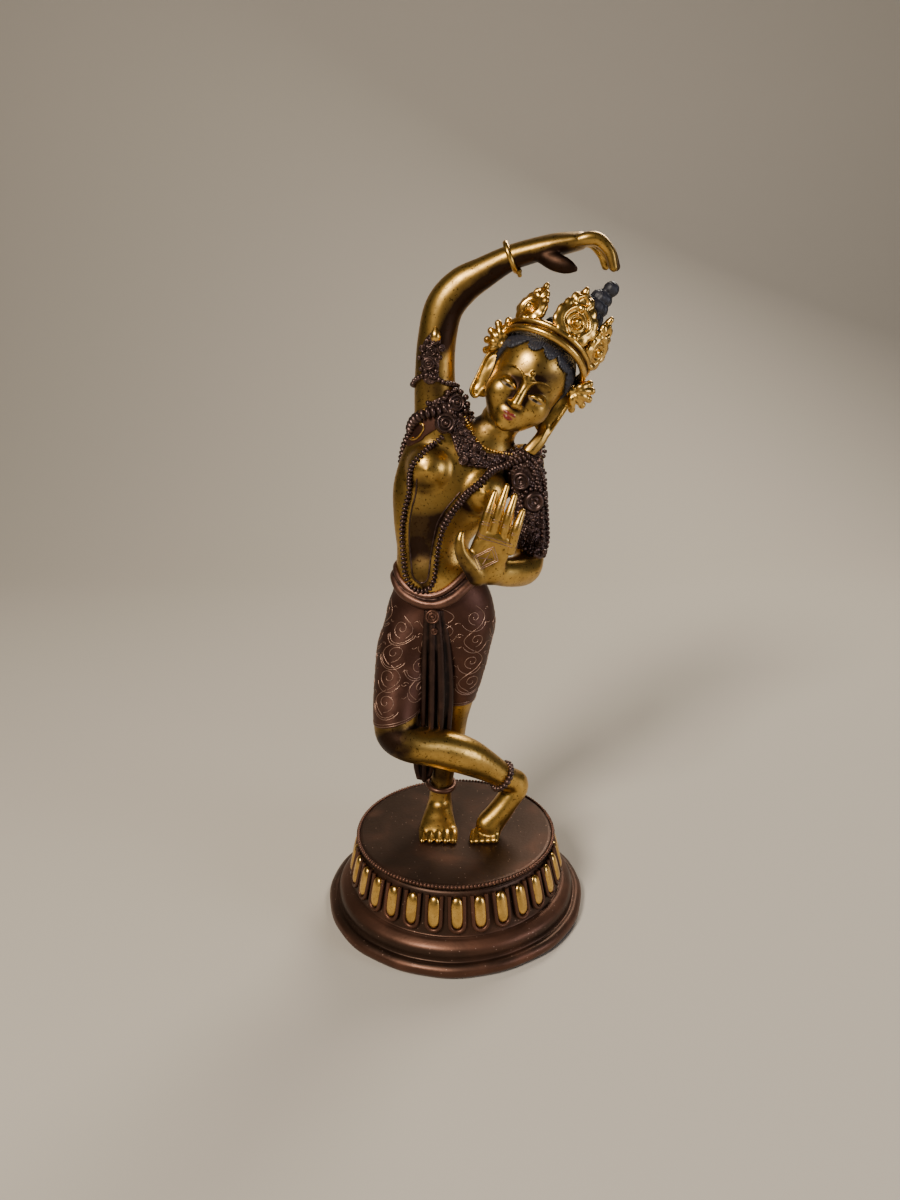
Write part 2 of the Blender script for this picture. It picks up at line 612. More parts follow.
for (base_x, base_z), (tip_x, tip_z) in zip(FINGER_BASES, FINGER_TIPS):
    middle = ((base_x + tip_x) / 2 - 0.3, -25.3, (base_z + tip_z) / 2, 1.7)
    finger = [
        (base_x - 0.8, -24.6, base_z - 4, 1.8), (base_x, -25, base_z, 1.9), middle,
        (tip_x, -23.8, tip_z, 1.1),
    ]
    finger_routes.append(finger)
    fingers.limb(finger, 0.2)
THUMB = [
    (9, -24, 152, 4), (6.2, -25.4, 156.4, 3.3), (3.4, -26.6, 161, 2.5), (2.8, -27, 165.4, 1.9),
    (3.4, -26.6, 168.4, 1.2),
]
upper.limb(THUMB, 1.2)
upper.egg((13.4, -28.6, 160), (4, 2, 3.6), 2.5, carve=True)
print("Greeting arm pressed on")

# %% Creases of the neck, and the finished upper body
NECK_RING = 8.4
for share in (0.3, 0.5, 0.7):
    centre = np.array(NECK[1][:3]) * (1 - share) + np.array(NECK[3][:3]) * share
    lean = Vector(np.array(NECK[3][:3]) - np.array(NECK[1][:3])).normalized()
    side = lean.orthogonal().normalized()
    other = lean.cross(side)
    ring = [
        (*(centre + NECK_RING * (math.cos(a) * np.array(side) + math.sin(a) * np.array(other))), 0.7)
        for a in np.linspace(0, 2 * math.pi, 12, endpoint=False)
    ]
    upper.limb(ring, 0.8, closed=True, carve=True)
upper_skin = merged([upper.skin(), fingers.skin(), raised_fingers.skin()])
upper_points = upper_skin[0]
PANEL_LEFT = [(143, -12), (147, -16.4), (154, -17), (166, -16.6), (180, -14), (186, -13), (192, -9)]
PANEL_RIGHT = [(143, -9), (147, -7.4), (154, -6.8), (166, -3.8), (175, 1), (182, 8), (186, 13)]


def panel_between_strands(points):
    """1 on the belly and chest between the two sides of the long strand, 0 elsewhere."""
    left = np.interp(points[:, 2], *zip(*PANEL_LEFT))
    right = np.interp(points[:, 2], *zip(*PANEL_RIGHT))
    inside = np.minimum(points[:, 0] - left, right - points[:, 0])
    within = np.clip(inside / 1.2, 0, 1) * (points[:, 1] < 0) * (points[:, 2] > 142)
    return within * np.interp(points[:, 2], [143, 150, 156, 170, 178], [0.95, 0.75, 0.95, 0.95, 0])


UPPER_STAINS = [
    ((-11, -12, 181), 4.6, 1.0), ((-13, 0, 196), 7, 0.6), ((2, -28, 160), 5, 0.7), ((5, -27, 151), 5, 1.0),
    ((13, -24, 147), 4, 0.8), ((7, -10, 163), 6, 0.5), ((38, -13, 256), 7, 1.2), ((41, -12, 255), 4, 0.8),
    ((56, -8, 256), 4.6, 1.0), ((4, -8, 174), 5, 0.7), ((26, -7, 257.6), 4.6, 0.8),
    ((34, -10, 258), 5, 0.7), ((-10, -1, 226), 5, 0.6), ((-6, -4, 215), 7, 0.6),
    *streak([
        (-2, -4, 230), (1.6, -4, 239), (7, -5, 245.6), (14, -5, 250.8), (21, -6, 254.8), (30, -8, 257.4),
    ], 3.9, 1.1),
    *streak([(-6, -3, 224), (-4, -4, 236), (1, -5, 245), (9, -6, 252.4), (20, -7, 258)], 6.5, 0.45),
    ((40, -13, 257), 7, 0.8), ((12, -24, 161), 7, 0.25), ((12, -3, 203), 6, 0.8), ((19, -4, 209), 5, 0.8),
]
body_brown = stained(upper_points, UPPER_STAINS) + panel_between_strands(upper_points)
clay_piece("gilt_body", upper_skin, GILDING, brown=body_brown)

# %% [markdown]
# The legs show from the trousers' hems down: one straight and turned to the viewer, the other bent across
# it and standing on its toes. They are modelled in a finer block of their own, because toes are small.

# %% Legs and feet
STANDING_LEG = [
    (5, 2.5, 124, 11, 11.6), (3, 3, 109, 9.8, 10.6), (1, 4.5, 96, 8.2, 9), (-0.6, 6, 83, 6.4, 7),
    (-2.4, 8.5, 71, 6.4, 7.2), (-4.6, 9, 58, 5, 5.4), (-6, 8, 48, 4.6, 5.1), (-6.6, 7.4, 41, 5, 5.8),
]
CROSSING_LEG = [
    (-14, 1, 124, 12, 12), (-18.4, -1, 116, 11, 11.6), (-20.6, -5, 104, 10.2, 10.6),
    (-22.6, -10, 94, 8.8, 9.2), (-23, -14, 85.6, 8, 8), (-17.5, -16, 81.4, 7.2, 7.6),
    (-6.4, -12.5, 77.6, 7.8, 7.8), (4.4, -10, 72.6, 7.6, 7.4), (14, -7, 65.6, 6, 5.9),
    (20.4, -4.6, 59.8, 4.9, 5),
]
SOLE = DISC_HEIGHT + 0.05
legs = Clay((-34, -26, 32), (34, 22, 100), 0.5)
legs.limb(STANDING_LEG[2:], 2)
legs.limb([
    (-6.4, 11, 37, 4.8, 4.4), (-7, 4, 38.6, 6, 4.8), (-7.4, -2, 36.8, 7.4, 3.4),
    (-7.4, -5.4, 35.6, 8.2, 2.4),
], 2, (0, 0, 1))
legs.limb(CROSSING_LEG[3:], 2.4)
HEEL_SIDE = (-0.75, -0.1, 0.65)
legs.limb([
    (20.6, -4, 59.2, 5, 5), (25.4, -1.4, 54.4, 5.6, 5.2), (21.8, -2.8, 48, 5.2, 4.8),
    (17.2, -4.6, 42, 5, 5.3), (13.8, -6.2, 38, 4.4, 5.8),
], 2, HEEL_SIDE)
legs.limb([
    (14.6, -4.6, 40, 5, 3.6), (13.2, -6.6, 37, 5.4, 2.6), (12.4, -7.8, 35.4, 5, 1.7),
], 1.6, (0, 0, 1))


def toe_row(clay, root, tip, spread, count, sizes):
    """A row of toes side by side, each from near the root point to near the tip point."""
    for i in range(count):
        share = i / (count - 1)
        size = sizes[0] + (sizes[1] - sizes[0]) * share ** 2
        start, end = (np.array(p[:2]) + np.array(spread) * (share - 0.5) for p in (root, tip))
        middle = (start + end) / 2
        clay.limb([
            (*start, SOLE + root[2], size), (*middle, SOLE + size * 1.2, size),
            (*end, SOLE + size * 0.6, size * 0.85),
        ], 0.5)


toe_row(legs, (-7.4, -4.4, 1.6), (-7.4, -11.2, 0), (13, -0.6), 5, (1.5, 1.9))
toe_row(legs, (12.4, -6.6, 2.4), (11.4, -11.8, 0), (9.6, 0.4), 5, (1.4, 1.8))
legs.cut((0, 0, SOLE), (0, 0, -1))
leg_skin = legs.skin()
LEG_STAINS = [
    ((-23, -18, 88), 7, 0.9), ((-26, -17, 82), 7, 1.1), ((-19, -23, 80), 5, 0.5), ((-14, -18, 74), 6, 0.8),
    ((6, -14, 67), 6, 0.5), ((-5, 4, 56), 9, 0.9), ((-7, -2, 44), 4, 0.2), ((20, -2, 44), 6, 0.35),
    ((0, 4, 84), 8, 0.9), ((12, -10, 36), 4, 0.5),
]
clay_piece("gilt_legs", leg_skin, GILDING, brown=stained(leg_skin[0], LEG_STAINS))

# %% [markdown]
# The trousers are knee-length and tight, so they are the same hips and thighs a little larger, cut square
# to each leg at the hem. They are one piece of brown copper, and their own block is finer again, because
# the pattern that comes later sits on them.

# %% Trousers
THICKER = 0.55
STANDING_HEM = ((0.5, 5, 91.2), (0, 0, -1))
CROSSING_HEM = ((-22.8, -11.4, 90.3), (0.245, -0.03, -0.969))


def thicker(stations):
    return [(x, y, z, wide + THICKER, deep + THICKER) for x, y, z, wide, deep in stations]


HIP_HALF_WIDE, HIP_HALF_DEEP = 16.4, 12.2
BELT_HEIGHT, BELT_SAG, BELT_RISE = 145.2, 7.2, 0.14
CLOTH_UNDER_BELT = 1.0


def belt_height(x, y):
    """Height of the belt's middle line round the hips: it sags in front and rises to one side."""
    front = np.maximum(0, -(y - 1) / np.hypot((x + 5.6) / HIP_HALF_WIDE * HIP_HALF_DEEP, y - 1 + 1e-6))
    return BELT_HEIGHT - BELT_SAG * front ** 1.5 + BELT_RISE * (x + 6)


trousers = Clay((-34, -25, 84), (26, 24, 147), 0.58)
trousers.limb(thicker(STANDING_LEG[:5]), 1.6, until=[STANDING_HEM])
trousers.limb(thicker(CROSSING_LEG[:5]), 1.6, until=[CROSSING_HEM])
trousers.limb(thicker(TRUNK[:3]), 3)
for seat_x in (-12.5, 4):
    trousers.egg((seat_x, 9, 124), (11.2, 9.4, 11), 2.5)
tx, ty, tz = trousers.everywhere()
waist = belt_height(tx, ty) + CLOTH_UNDER_BELT
trousers.field = np.maximum(trousers.field, (tz - waist).astype(np.float32))
trouser_skin = trousers.skin()
clay_piece("trousers", trouser_skin, CLOTH_COPPER, BROWN_SLOT)

# %% [markdown]
# The head is modelled upright in a block of its own and then tilted into place, so that left and right
# stay mirror images while it is worked on. The face is a plain ideal one: hairline, brow, nose base and chin
# stand a third of the face apart, the eyes lie just under the brow, the mouth about a third of the way from
# nose base to chin, and an eye's width parts the eyes.

# %% Head
HEAD_CENTRE = (28.2, 1, 217.8)
HEAD_ROLL, HEAD_NOD, HEAD_TURN = 30, 4, -5
HEAD_PLACE = Matrix.Translation(HEAD_CENTRE)
for angle, axis in ((HEAD_ROLL, "Y"), (HEAD_NOD, "X"), (HEAD_TURN, "Z")):
    HEAD_PLACE = HEAD_PLACE @ Matrix.Rotation(math.radians(angle), 4, axis)
BROW, NOSE_BASE, MOUTH, EYE_LINE, EYE_APART = 1.4, -8.4, -12.0, -2.4, 5.6
head = Clay((-19, -20, -21), (19, 20, 21), 0.34)
head.egg((0, 2, 5.5), (14, 15, 13), 1)
head.egg((0, -2.2, -4.5), (12.2, 11.2, 14), 4)
head.egg((0, -7, -12), (7.4, 6.4, 6), 3)
head.egg((0, -11, -15.7), (3.2, 2.5, 2.6), 2)
for s in (-1, 1):
    head.egg((s * 6.8, -7.4, -6.6), (5.2, 5.6, 5.6), 3)
    head.egg((s * 5.8, -14.9, EYE_LINE + 1.6), (4.2, 2, 2.2), 2, carve=True)
    head.egg((s * EYE_APART, -10.7, EYE_LINE), (3.5, 2.8, 2.2), 0.3)
    head.limb([
        (s * 0.9, -14.1, BROW - 0.6, 0.45), (s * 3.2, -14.2, BROW + 1.5, 0.5),
        (s * 6.6, -12.9, BROW + 2.2, 0.45), (s * 10.4, -9.8, BROW + 0.4, 0.3),
    ], 0.7)
    head.limb([
        (s * 2.4, -12.7, EYE_LINE - 0.8, 0.4), (s * 4.4, -13.5, EYE_LINE + 0.1, 0.95),
        (s * 6.6, -13.1, EYE_LINE + 0.3, 0.95), (s * 9.3, -11.4, EYE_LINE - 0.3, 0.35),
    ], 0.35)
    head.limb([
        (s * 2.6, -12.7, EYE_LINE - 0.9, 0.3), (s * 5.6, -13, EYE_LINE - 1.7, 0.4),
        (s * 9, -11.6, EYE_LINE - 0.4, 0.3),
    ], 0.4)
NOSE = [(0, -12.8, BROW + 0.4, 1.5), (0, -13.9, -2, 1.5), (0, -15.3, -6, 1.8), (0, -15.7, -7.2, 1.9)]
head.limb(NOSE, 1.4)
for s in (-1, 1):
    head.egg((s * 1.8, -14.4, NOSE_BASE + 0.7), (1.2, 1.4, 1.1), 0.7)
    head.egg((s * 0.85, -15.4, NOSE_BASE - 0.6), (0.45, 0.7, 0.45), 0.4, carve=True)
head.egg((0, -12.2, MOUTH), (3.8, 1.8, 2.4), 1.6)
UPPER_LIP = [
    (-3, -13.1, MOUTH + 0.2, 0.25), (-1.2, -14, MOUTH + 0.65, 0.55), (0, -14.1, MOUTH + 0.45, 0.5),
    (1.2, -14, MOUTH + 0.65, 0.55), (3, -13.1, MOUTH + 0.2, 0.25),
]
LOWER_LIP = [(-2.5, -13.2, MOUTH - 0.3, 0.3), (0, -14, MOUTH - 0.9, 0.75), (2.5, -13.2, MOUTH - 0.3, 0.3)]
head.limb(UPPER_LIP, 0.25)
head.limb(LOWER_LIP, 0.25)
head.egg((0, -14, BROW + 3.2), (0.9, 0.7, 0.9), 0.3)
print("Face modelled: mouth at", MOUTH, "and eyes at", EYE_LINE, "mm on the head's own axis")

# %% Ears, and the painted face
EAR_PLATE = [
    (12.6, 2.4, 4.2, 2.2, 1.2), (13.4, 1.4, 0.5, 3.6, 1.3), (13.6, 0.8, -4, 3.6, 1.3),
    (13.6, 0.4, -8, 3.4, 1.3), (13.6, 0, -12, 3.2, 1.5),
]
for s in (-1, 1):
    mirror = np.array([s, 1, 1, 1, 1])
    head.limb(np.array(EAR_PLATE) * mirror, 0.8)
    head.limb([
        (s * 13.2, 0.6, 3.6, 0.5), (s * 15.6, 0.4, 4, 0.65), (s * 17.2, 0.6, 1, 0.65),
        (s * 17.2, 0.2, -3.4, 0.6), (s * 16.8, -0.4, -8, 0.65), (s * 16.2, -1, -12.8, 0.8),
        (s * 13.6, -1.2, -14, 0.7), (s * 12.4, -1, -10, 0.5),
    ], 0.35)
    head.egg((s * 15, -0.9, -0.4), (1, 1, 3), 0.6, carve=True)
    head.egg((s * 15.5, -1.6, -9.6), (0.55, 1, 1.6), 0.4, carve=True)
RIBBON = [
    (14.6, -0.4, -11, 2, 1.5), (14.7, -2.2, -15, 2.5, 1.6), (14, -3.6, -19, 2.6, 1.8),
    (13, -4.4, -23, 2.4, 2),
]
head.limb(RIBBON, 0.8)
head.limb([(x + 0.2, y - 1.5, z, 0.5) for x, y, z, _, _ in RIBBON], 0.3)
head_skin = head.skin()
head_points = head_skin[0]


def near_path(points, stations, grow):
    """1 within a limb grown by that much, fading to 0 just outside it."""
    path = smooth_path(stations, 10)
    gap = np.linalg.norm(points[:, None, :] - path[None, :, :3], axis=2) - path[None, :, 3]
    return np.clip(1 - (gap.min(1) - grow) / 0.15, 0, 1)


def eye_paint(points):
    """Where the eye shows between its lids, and where its dark iris is."""
    white = np.zeros(len(points))
    dark = np.zeros(len(points))
    for s in (-1, 1):
        x, z = points[:, 0] * s - EYE_APART, points[:, 2] - (EYE_LINE - 0.8)
        opening = (x / 2.8) ** 2 + (z / 0.6) ** 2
        front = points[:, 1] < -11.2
        white = np.maximum(white, np.clip(3 * (1 - opening), 0, 1) * front)
        iris = np.sqrt((x + 0.2) ** 2 + z ** 2)
        dark = np.maximum(dark, np.clip((1.1 - iris) / 0.2, 0, 1) * front)
    return white, dark * (white > 0)


lips = np.maximum(near_path(head_points, UPPER_LIP, 0.02), near_path(head_points, LOWER_LIP, 0.02))
eye_white, eye_dark = eye_paint(head_points)
FACE_STAINS = [
    ((7, -12, 6), 4.5, 0.6), ((9, -8, -8), 6, 0.4), ((0, -13, 8), 2, 0.5), ((-9, -9, -12), 5, 0.35),
    ((3, -14, 4.6), 2.4, 0.5), ((14, -4, -16), 5, 0.5), ((-4, -15, -9), 3, 0.3),
]
clay_piece(
    "head_and_face", moved(head_skin, HEAD_PLACE), FACE_FINISH,
    brown=stained(head_points, FACE_STAINS), lip_paint=lips, eye_white=eye_white, eye_dark=eye_dark,
)

# %% [markdown]
# The hair is a thin cap over the skull. Its front edge hangs in scallops over the forehead, and comb lines
# run back from it. At the nape it is gathered in a bun, and on top in a tall knot of lobes with a ball.
# The hair has its own block, so the cap can be cut by a wavy line that depends on the angle round the head.

# %% Hair
SCALLOP_TURN = math.radians(27)
COMB_LINES = 96
hair = Clay((-18, -19, -14), (22, 25, 47), 0.42)
hair.egg((0, 2, 5.5), (14.9, 15.9, 14), 1)
hx, hy, hz = hair.everywhere()
turn = np.arctan2(hx, -(hy - 2))
hairline = np.interp(np.abs(turn), np.radians([0, 36, 62, 84, 110, 180]), [11.4, 10.6, 5, -2, -8, -9])
scallop = 1 - np.abs(np.sin(math.pi * (turn + 0.1) / SCALLOP_TURN)) ** 0.8
hair.field = np.maximum(hair.field, ((hairline + 2.6 * scallop - hz) * 0.8).astype(np.float32))
hair.egg((0, 14.6, -2.6), (9.2, 7.4, 8.6), 1.5)
TOPKNOT = [(3.4, 3, 18, 8.2), (5.2, 5, 25, 6), (7, 6.6, 32, 4.6), (8.4, 7.2, 38, 3)]
hair.limb(TOPKNOT, 1)
knot_line = smooth_path(TOPKNOT, 12)
KNOT_TIERS = [(20.5, 6, 3.4), (25.5, 5, 3), (30, 4, 2.7), (34, 3, 2.4), (37.5, 2, 2)]
LOBES_PER_TIER = 8
for tier, (height, spread, size) in enumerate(KNOT_TIERS):
    middle = knot_line[np.argmin(np.abs(knot_line[:, 2] - height))]
    for i in range(LOBES_PER_TIER):
        angle = 2 * math.pi * (i + tier / 2) / LOBES_PER_TIER
        place = (middle[0] + spread * math.cos(angle), middle[1] + spread * math.sin(angle), height)
        hair.egg(place, (size, size, size * 1.1), 0.35)
hair.egg((9.6, 7.2, 41.8), (2.8, 2.8, 2.8), 0.3)
comb = np.where(hz < 19, 0.26, 0.16) * np.cos(COMB_LINES * turn + 0.5 * hz)
hair.field = hair.field + comb.astype(np.float32)
clay_piece("painted_hair", moved(hair.skin(soften=0, coarse=2), HEAD_PLACE), HAIR_PAINT, BROWN_SLOT)

# %% [markdown]
# The crown is a band of two rounded ridges, tilted back over the hair, with three leaves on it that stand
# upright. Each leaf was hammered up from behind into scrolling foliage round a ringed boss. One function
# models a leaf lying in its own block from its width and height, and it is then stood on the band.

# %% Crown
CROWN_SEAT = (0.6, 1.5, 10.5)
CROWN_TILT = math.radians(-32)
CROWN_PLACE = HEAD_PLACE @ Matrix.Translation(CROWN_SEAT) @ Matrix.Rotation(CROWN_TILT, 4, "X")
BAND_WIDTH, BAND_DEPTH = 16, 15.6


def oval_ring(wide, deep, height, wire, turns=24):
    angles = np.linspace(0, 2 * math.pi, turns, endpoint=False)
    return [(wide * math.cos(a), deep * math.sin(a), height, wire) for a in angles]


band = Clay((-20, -20, -5), (20, 20, 8), 0.36)
band.limb(oval_ring(BAND_WIDTH, BAND_DEPTH, -0.6, 1.35), 0.2, (0, 0, 1), closed=True, steps=3)
band.limb(oval_ring(BAND_WIDTH + 0.3, BAND_DEPTH + 0.3, 2.4, 1.3), 0.2, (0, 0, 1), closed=True, steps=3)
band.limb(oval_ring(BAND_WIDTH - 0.9, BAND_DEPTH - 0.9, 1, 0.9), 0.5, (0, 0, 1), closed=True, steps=3)
LEAF_OUTLINE = [
    (-0.1, 0.2), (0, 0.36), (0.1, 0.66), (0.22, 0.95), (0.36, 1), (0.52, 0.88), (0.72, 0.62), (0.88, 0.42),
    (1, 0.24), (1.1, 0),
]


def leaf_half_width(share, half):
    """Half the leaf's width at a share of its height: narrow at the foot, full below the middle."""
    return half * np.interp(share, *zip(*LEAF_OUTLINE))


def crown_leaf(width, height):
    half = width / 2
    leaf = Clay((-half - 2, -5, -2), (half + 2, 4, height + 3), 0.32)
    x, y, z = leaf.everywhere()
    edge = np.abs(x) - leaf_half_width(z / height, half) + 0.9
    bow = 1.1 * (x / half) ** 2 + 1.2 * (z / height - 0.4) ** 2
    leaf.field = np.maximum(
        np.maximum(edge * 0.8, np.abs(y - bow) - 0.9), np.maximum(-z, z - height),
    ).astype(np.float32)
    boss = height * 0.34
    for s in (-1, 1):
        for i in range(5):
            share = 0.13 + 0.17 * i
            size = (2.3 - 1.3 * share) * half / 7.5
            out = leaf_half_width(share, half)
            leaf.egg((s * (out - size * 0.9), -0.2, height * share), (size, 1.3, size * 1.2), 0.9)
        leaf.limb([
            (s * half * 0.3, -1, height * 0.12, 0.7), (s * half * 0.62, -1.1, height * 0.3, 0.8),
            (s * half * 0.5, -1.1, height * 0.5, 0.8), (s * half * 0.16, -1, height * 0.66, 0.7),
        ], 0.5)
        leaf.limb([
            (s * 0.9, -1, height * 0.62, 0.6), (s * half * 0.3, -1.2, height * 0.76, 0.7),
            (0, -1, height * 0.9, 0.5),
        ], 0.5)
    leaf.egg((0, -1, 0.8), (2, 1.4, 1.3), 0.6)
    leaf.egg((0, -1.7, boss), (1.55, 1.7, 1.55), 0.1)
    ring_angles = np.linspace(0, 2 * math.pi, 10, endpoint=False)
    leaf.limb(
        [(2.8 * math.cos(a), -1, boss + 2.8 * math.sin(a), 0.55) for a in ring_angles], 0.2, closed=True,
        steps=3,
    )
    leaf.egg((0, -1.2, boss + 5.2), (1, 1.2, 1.6), 0.3)
    leaf.egg((0, -0.2, height), (1.15, 1.1, 1.5), 0.4)
    return leaf.skin(soften=1, coarse=3)


LEAVES = [
    (4.8, -14.6, 17.5, 18.4, 12, -13, 7), (-12.3, -10, 13, 14.6, -42, 11, 7),
    (15.6, -4.6, 13.5, 18, 50, -25, 13),
]
crown_parts = [moved(band.skin(soften=0, coarse=3), CROWN_PLACE)]
for x, y, width, height, turned, lean, forward in LEAVES:
    stand = CROWN_PLACE @ Matrix.Translation((x, y, 2.2))
    for degrees, axis in ((turned, "Z"), (lean, "Y"), (forward, "X")):
        stand = stand @ Matrix.Rotation(math.radians(degrees), 4, axis)
    crown_parts.append(moved(crown_leaf(width, height), stand))
print("Crown parts:", len(crown_parts))

# %% Ribbed fans beside the ears, and the whole crown
LEFT_FAN = [(-14.4, 6.8), (-16.6, 14.8), (-19.3, 12.2), (-20.3, 8.8), (-20, 5.4), (-18.6, 2)]
RIGHT_FAN = [(15.6, 5.4), (20, 10.4), (22, 8.6), (22.6, 5.6), (21.6, 2.6), (19.2, -0.6)]


def ear_fan(places):
    """A fan of plump ribs from one root to several tips, the last tip a bead."""
    fan = Clay((-26, -8, -5), (26, 12, 19), 0.36)
    root_x, root_z = places[0]
    for i, (x, z) in enumerate(places[1:]):
        dip = 0.6 * abs(i - 1.5)
        belly = ((root_x + x) / 2, -0.9 + dip * 0.3, (root_z + z) / 2, 1.5)
        fan.limb([(root_x, 1, root_z, 1), belly, (x, 0.6 + dip, z, 1.25)], 0.15)
        fan.limb([(root_x, 3, root_z, 1), (*belly[:1], 3, belly[2], 1.5), (x, 2.6, z, 1.1)], 0.8)
        fan.egg((x, 0.2 + dip, z), (1.4, 1.3, 1.4), 0.15)
    fan.egg((root_x, -0.4, root_z), (1.7, 1.5, 1.7), 0.15)
    return fan.skin(soften=0, coarse=3)


for places in (LEFT_FAN, RIGHT_FAN):
    crown_parts.append(moved(ear_fan(places), HEAD_PLACE))
crown_skin = merged(crown_parts)
upright = moved(crown_skin, CROWN_PLACE.inverted())[0]
on_band = np.hypot(upright[:, 0], upright[:, 1]) < BAND_WIDTH + 1
band_groove = 0.9 * np.exp(-(((upright[:, 2] - 0.9) / 0.8) ** 2)) * on_band
clay_piece("crown", crown_skin, BRIGHT_GILDING, brown=band_groove)

# %% [markdown]
# Jewels lie on the body, so their routes are laid by eye and then dropped on to it: a ray from the camera
# through each point finds the skin behind it. A route that the ray misses takes the nearest point of the
# skin. This keeps a strand both where the eye sees it and in touch with what carries it.

# %% Laying things on a surface
def surface_of(*skins):
    """The faces of one or more skins, sorted so that a ray or a nearest point is found quickly."""
    points, faces, _ = merged(skins)
    return BVHTree.FromPolygons(points.tolist(), faces)


LAYING_REACH = 8


def laid(surface, point, lift, seen=True):
    """A point dropped on a surface along the line of sight and lifted off it, with the normal there."""
    point = Vector(point[:3])
    sight = (point - Vector(CAMERA_PLACE)).normalized()
    hit = normal = None
    if seen:
        hit, normal, _, _ = surface.ray_cast(point - sight * LAYING_REACH, sight, 2 * LAYING_REACH)
    if hit is None:
        hit, normal, _, _ = surface.find_nearest(point)
    return hit + normal * lift, normal


def laid_path(surface, stations, pitch, lift, seen=True):
    """A smooth route dropped on a surface, its points a pitch apart."""
    route = spaced(smooth_path(stations, 8), pitch)
    dropped = np.array([laid(surface, row, lift, seen)[0] for row in route])
    return spaced(
        np.vstack([dropped[:1], (dropped[:-2] + dropped[1:-1] + dropped[2:]) / 3, dropped[-1:]]), pitch,
    )


body_surface = surface_of(upper_skin)
trouser_surface = surface_of(trouser_skin)
print("The navel lies at", [round(v, 1) for v in laid(body_surface, (-11.9, -11, 146.5), 0)[0]])

# %% [markdown]
# Under the bosses and beads lies a thin plate that follows the chest and the arm like a collar of sheet
# metal. It could be drawn by hand, but the clay already knows how far each point is from the skin: a plate
# is what lies within a millimetre of the skin, wherever one of a few rounded routes passes. A small ripple
# in that millimetre gives the plate the knobbly look of cast jewellery.

# %% Plates that hug the body
upper_soft = blurred(np.clip(upper.field, -BAND, BAND), 1)
KNOB_RISE = 0.28


def plate(low, high, routes, thick, knobs):
    """A thin plate on the upper body along rounded routes, its face rippled by knobs that far apart."""
    clay = Clay(low, high, 0.36)
    for route in routes:
        seats = [(*laid(body_surface, row, 0)[0], row[3]) for row in smooth_path(route, 3)]
        clay.limb(seats, 1, steps=2)
    x, y, z = np.broadcast_arrays(*clay.everywhere())
    places = (np.stack([x, y, z], -1).reshape(-1, 3) - upper.low) / upper.pitch
    skin_gap = read_between(upper_soft, places).reshape(x.shape)
    ripple = 0
    if knobs:
        one_way, other_way = (2 * math.pi * run / knobs for run in (x + 0.4 * z, z - 0.4 * x))
        ripple = KNOB_RISE * np.cos(one_way) * np.cos(other_way)
    rim = np.clip(0.5 + clay.field / 3, 0, 1)
    shell = np.maximum(skin_gap - thick * (1 - rim ** 2 * 0.6) - ripple, -(skin_gap + 0.8))
    clay.field = np.maximum(clay.field, shell).astype(np.float32)
    return clay.skin(soften=0)


COLLAR = [
    (-1, -5, 207, 3), (1.5, -5, 203.4, 3), (4, -6, 199, 3.7), (6.6, -7.6, 193.8, 4.3), (10, -8, 191.2, 3.2),
    (14.6, -8, 190.4, 2.9), (19.6, -7, 190.4, 2.9), (24, -6, 191.4, 3), (29, -4, 193, 3.2),
]
SHOULDER = [(9, -3, 208.6, 3.4), (5, -5, 211.6, 5.4), (0, -5, 210, 4.4), (-5, -5, 209.4, 3)]
DROP_SEAT = [(-1, -5, 208, 3.6), (-2, -6, 204, 3.8)]
ARM_DROP = [(-7, -6, 221, 3.2), (-7, -6, 226, 3.6), (-6.3, -6, 230.6, 3.4), (-4.8, -6, 234.6, 1.8)]
ARMLET = [
    (28, -4, 191, 4), (30.6, -5, 184, 5.2), (32.4, -3, 176, 5.6), (32.8, -3, 168, 5.6), (32, -4, 160, 5.4),
    (32, -5, 156.4, 4),
]
ARMLET_INNER = [(25, -5, 186, 3.4), (26, -6, 178, 3), (26.6, -6, 166, 3.2), (26.4, -8, 160, 2.6)]
plates = [
    plate((-8, -18, 184), (34, 8, 217), [COLLAR, SHOULDER, DROP_SEAT], 1.1, 1.7),
    plate((-16, -14, 212), (6, 8, 242), [ARM_DROP], 0.6, 1.5),
    plate((18, -18, 148), (41, 10, 198), [ARMLET, ARMLET_INNER], 1.35, 1.7),
]
plate_skin = merged(plates)
clay_piece("jewel_plates", plate_skin, JEWEL_COPPER, BROWN_SLOT)
FLAP = [(-3, -6, 206.4, 2.6), (-8, -5, 204.6, 4), (-12.6, -3, 202, 4.4), (-15.6, 1, 199, 3.6)]
flap_skin = plate((-24, -14, 190), (4, 12, 214), [FLAP], 0.55, 0)
clay_piece("shoulder_flap", flap_skin, CLOTH_COPPER, BROWN_SLOT)
dressed_surface = surface_of(upper_skin, plate_skin, flap_skin)

# %% [markdown]
# Beads are what repeats most here, so Geometry Nodes string them: points along a curve, a flattened ball on
# each, turned to the curve. Its inputs are the bead's radius, how flat it is and the pitch. A second tree
# sets a boss on each loose point, facing the way that the point's own attribute says. A third draws a wire.

# %% Node trees for beads, bosses and wires
def node_tree(name, inputs):
    """An empty geometry tree with named inputs; gives the tree and the outputs of its input node."""
    tree = bpy.data.node_groups.new(name, "GeometryNodeTree")
    tree.interface.new_socket("Geometry", in_out="INPUT", socket_type="NodeSocketGeometry")
    for label, kind in inputs:
        tree.interface.new_socket(label, in_out="INPUT", socket_type=kind)
    tree.interface.new_socket("Geometry", in_out="OUTPUT", socket_type="NodeSocketGeometry")
    return tree, add(tree, "NodeGroupInput").outputs


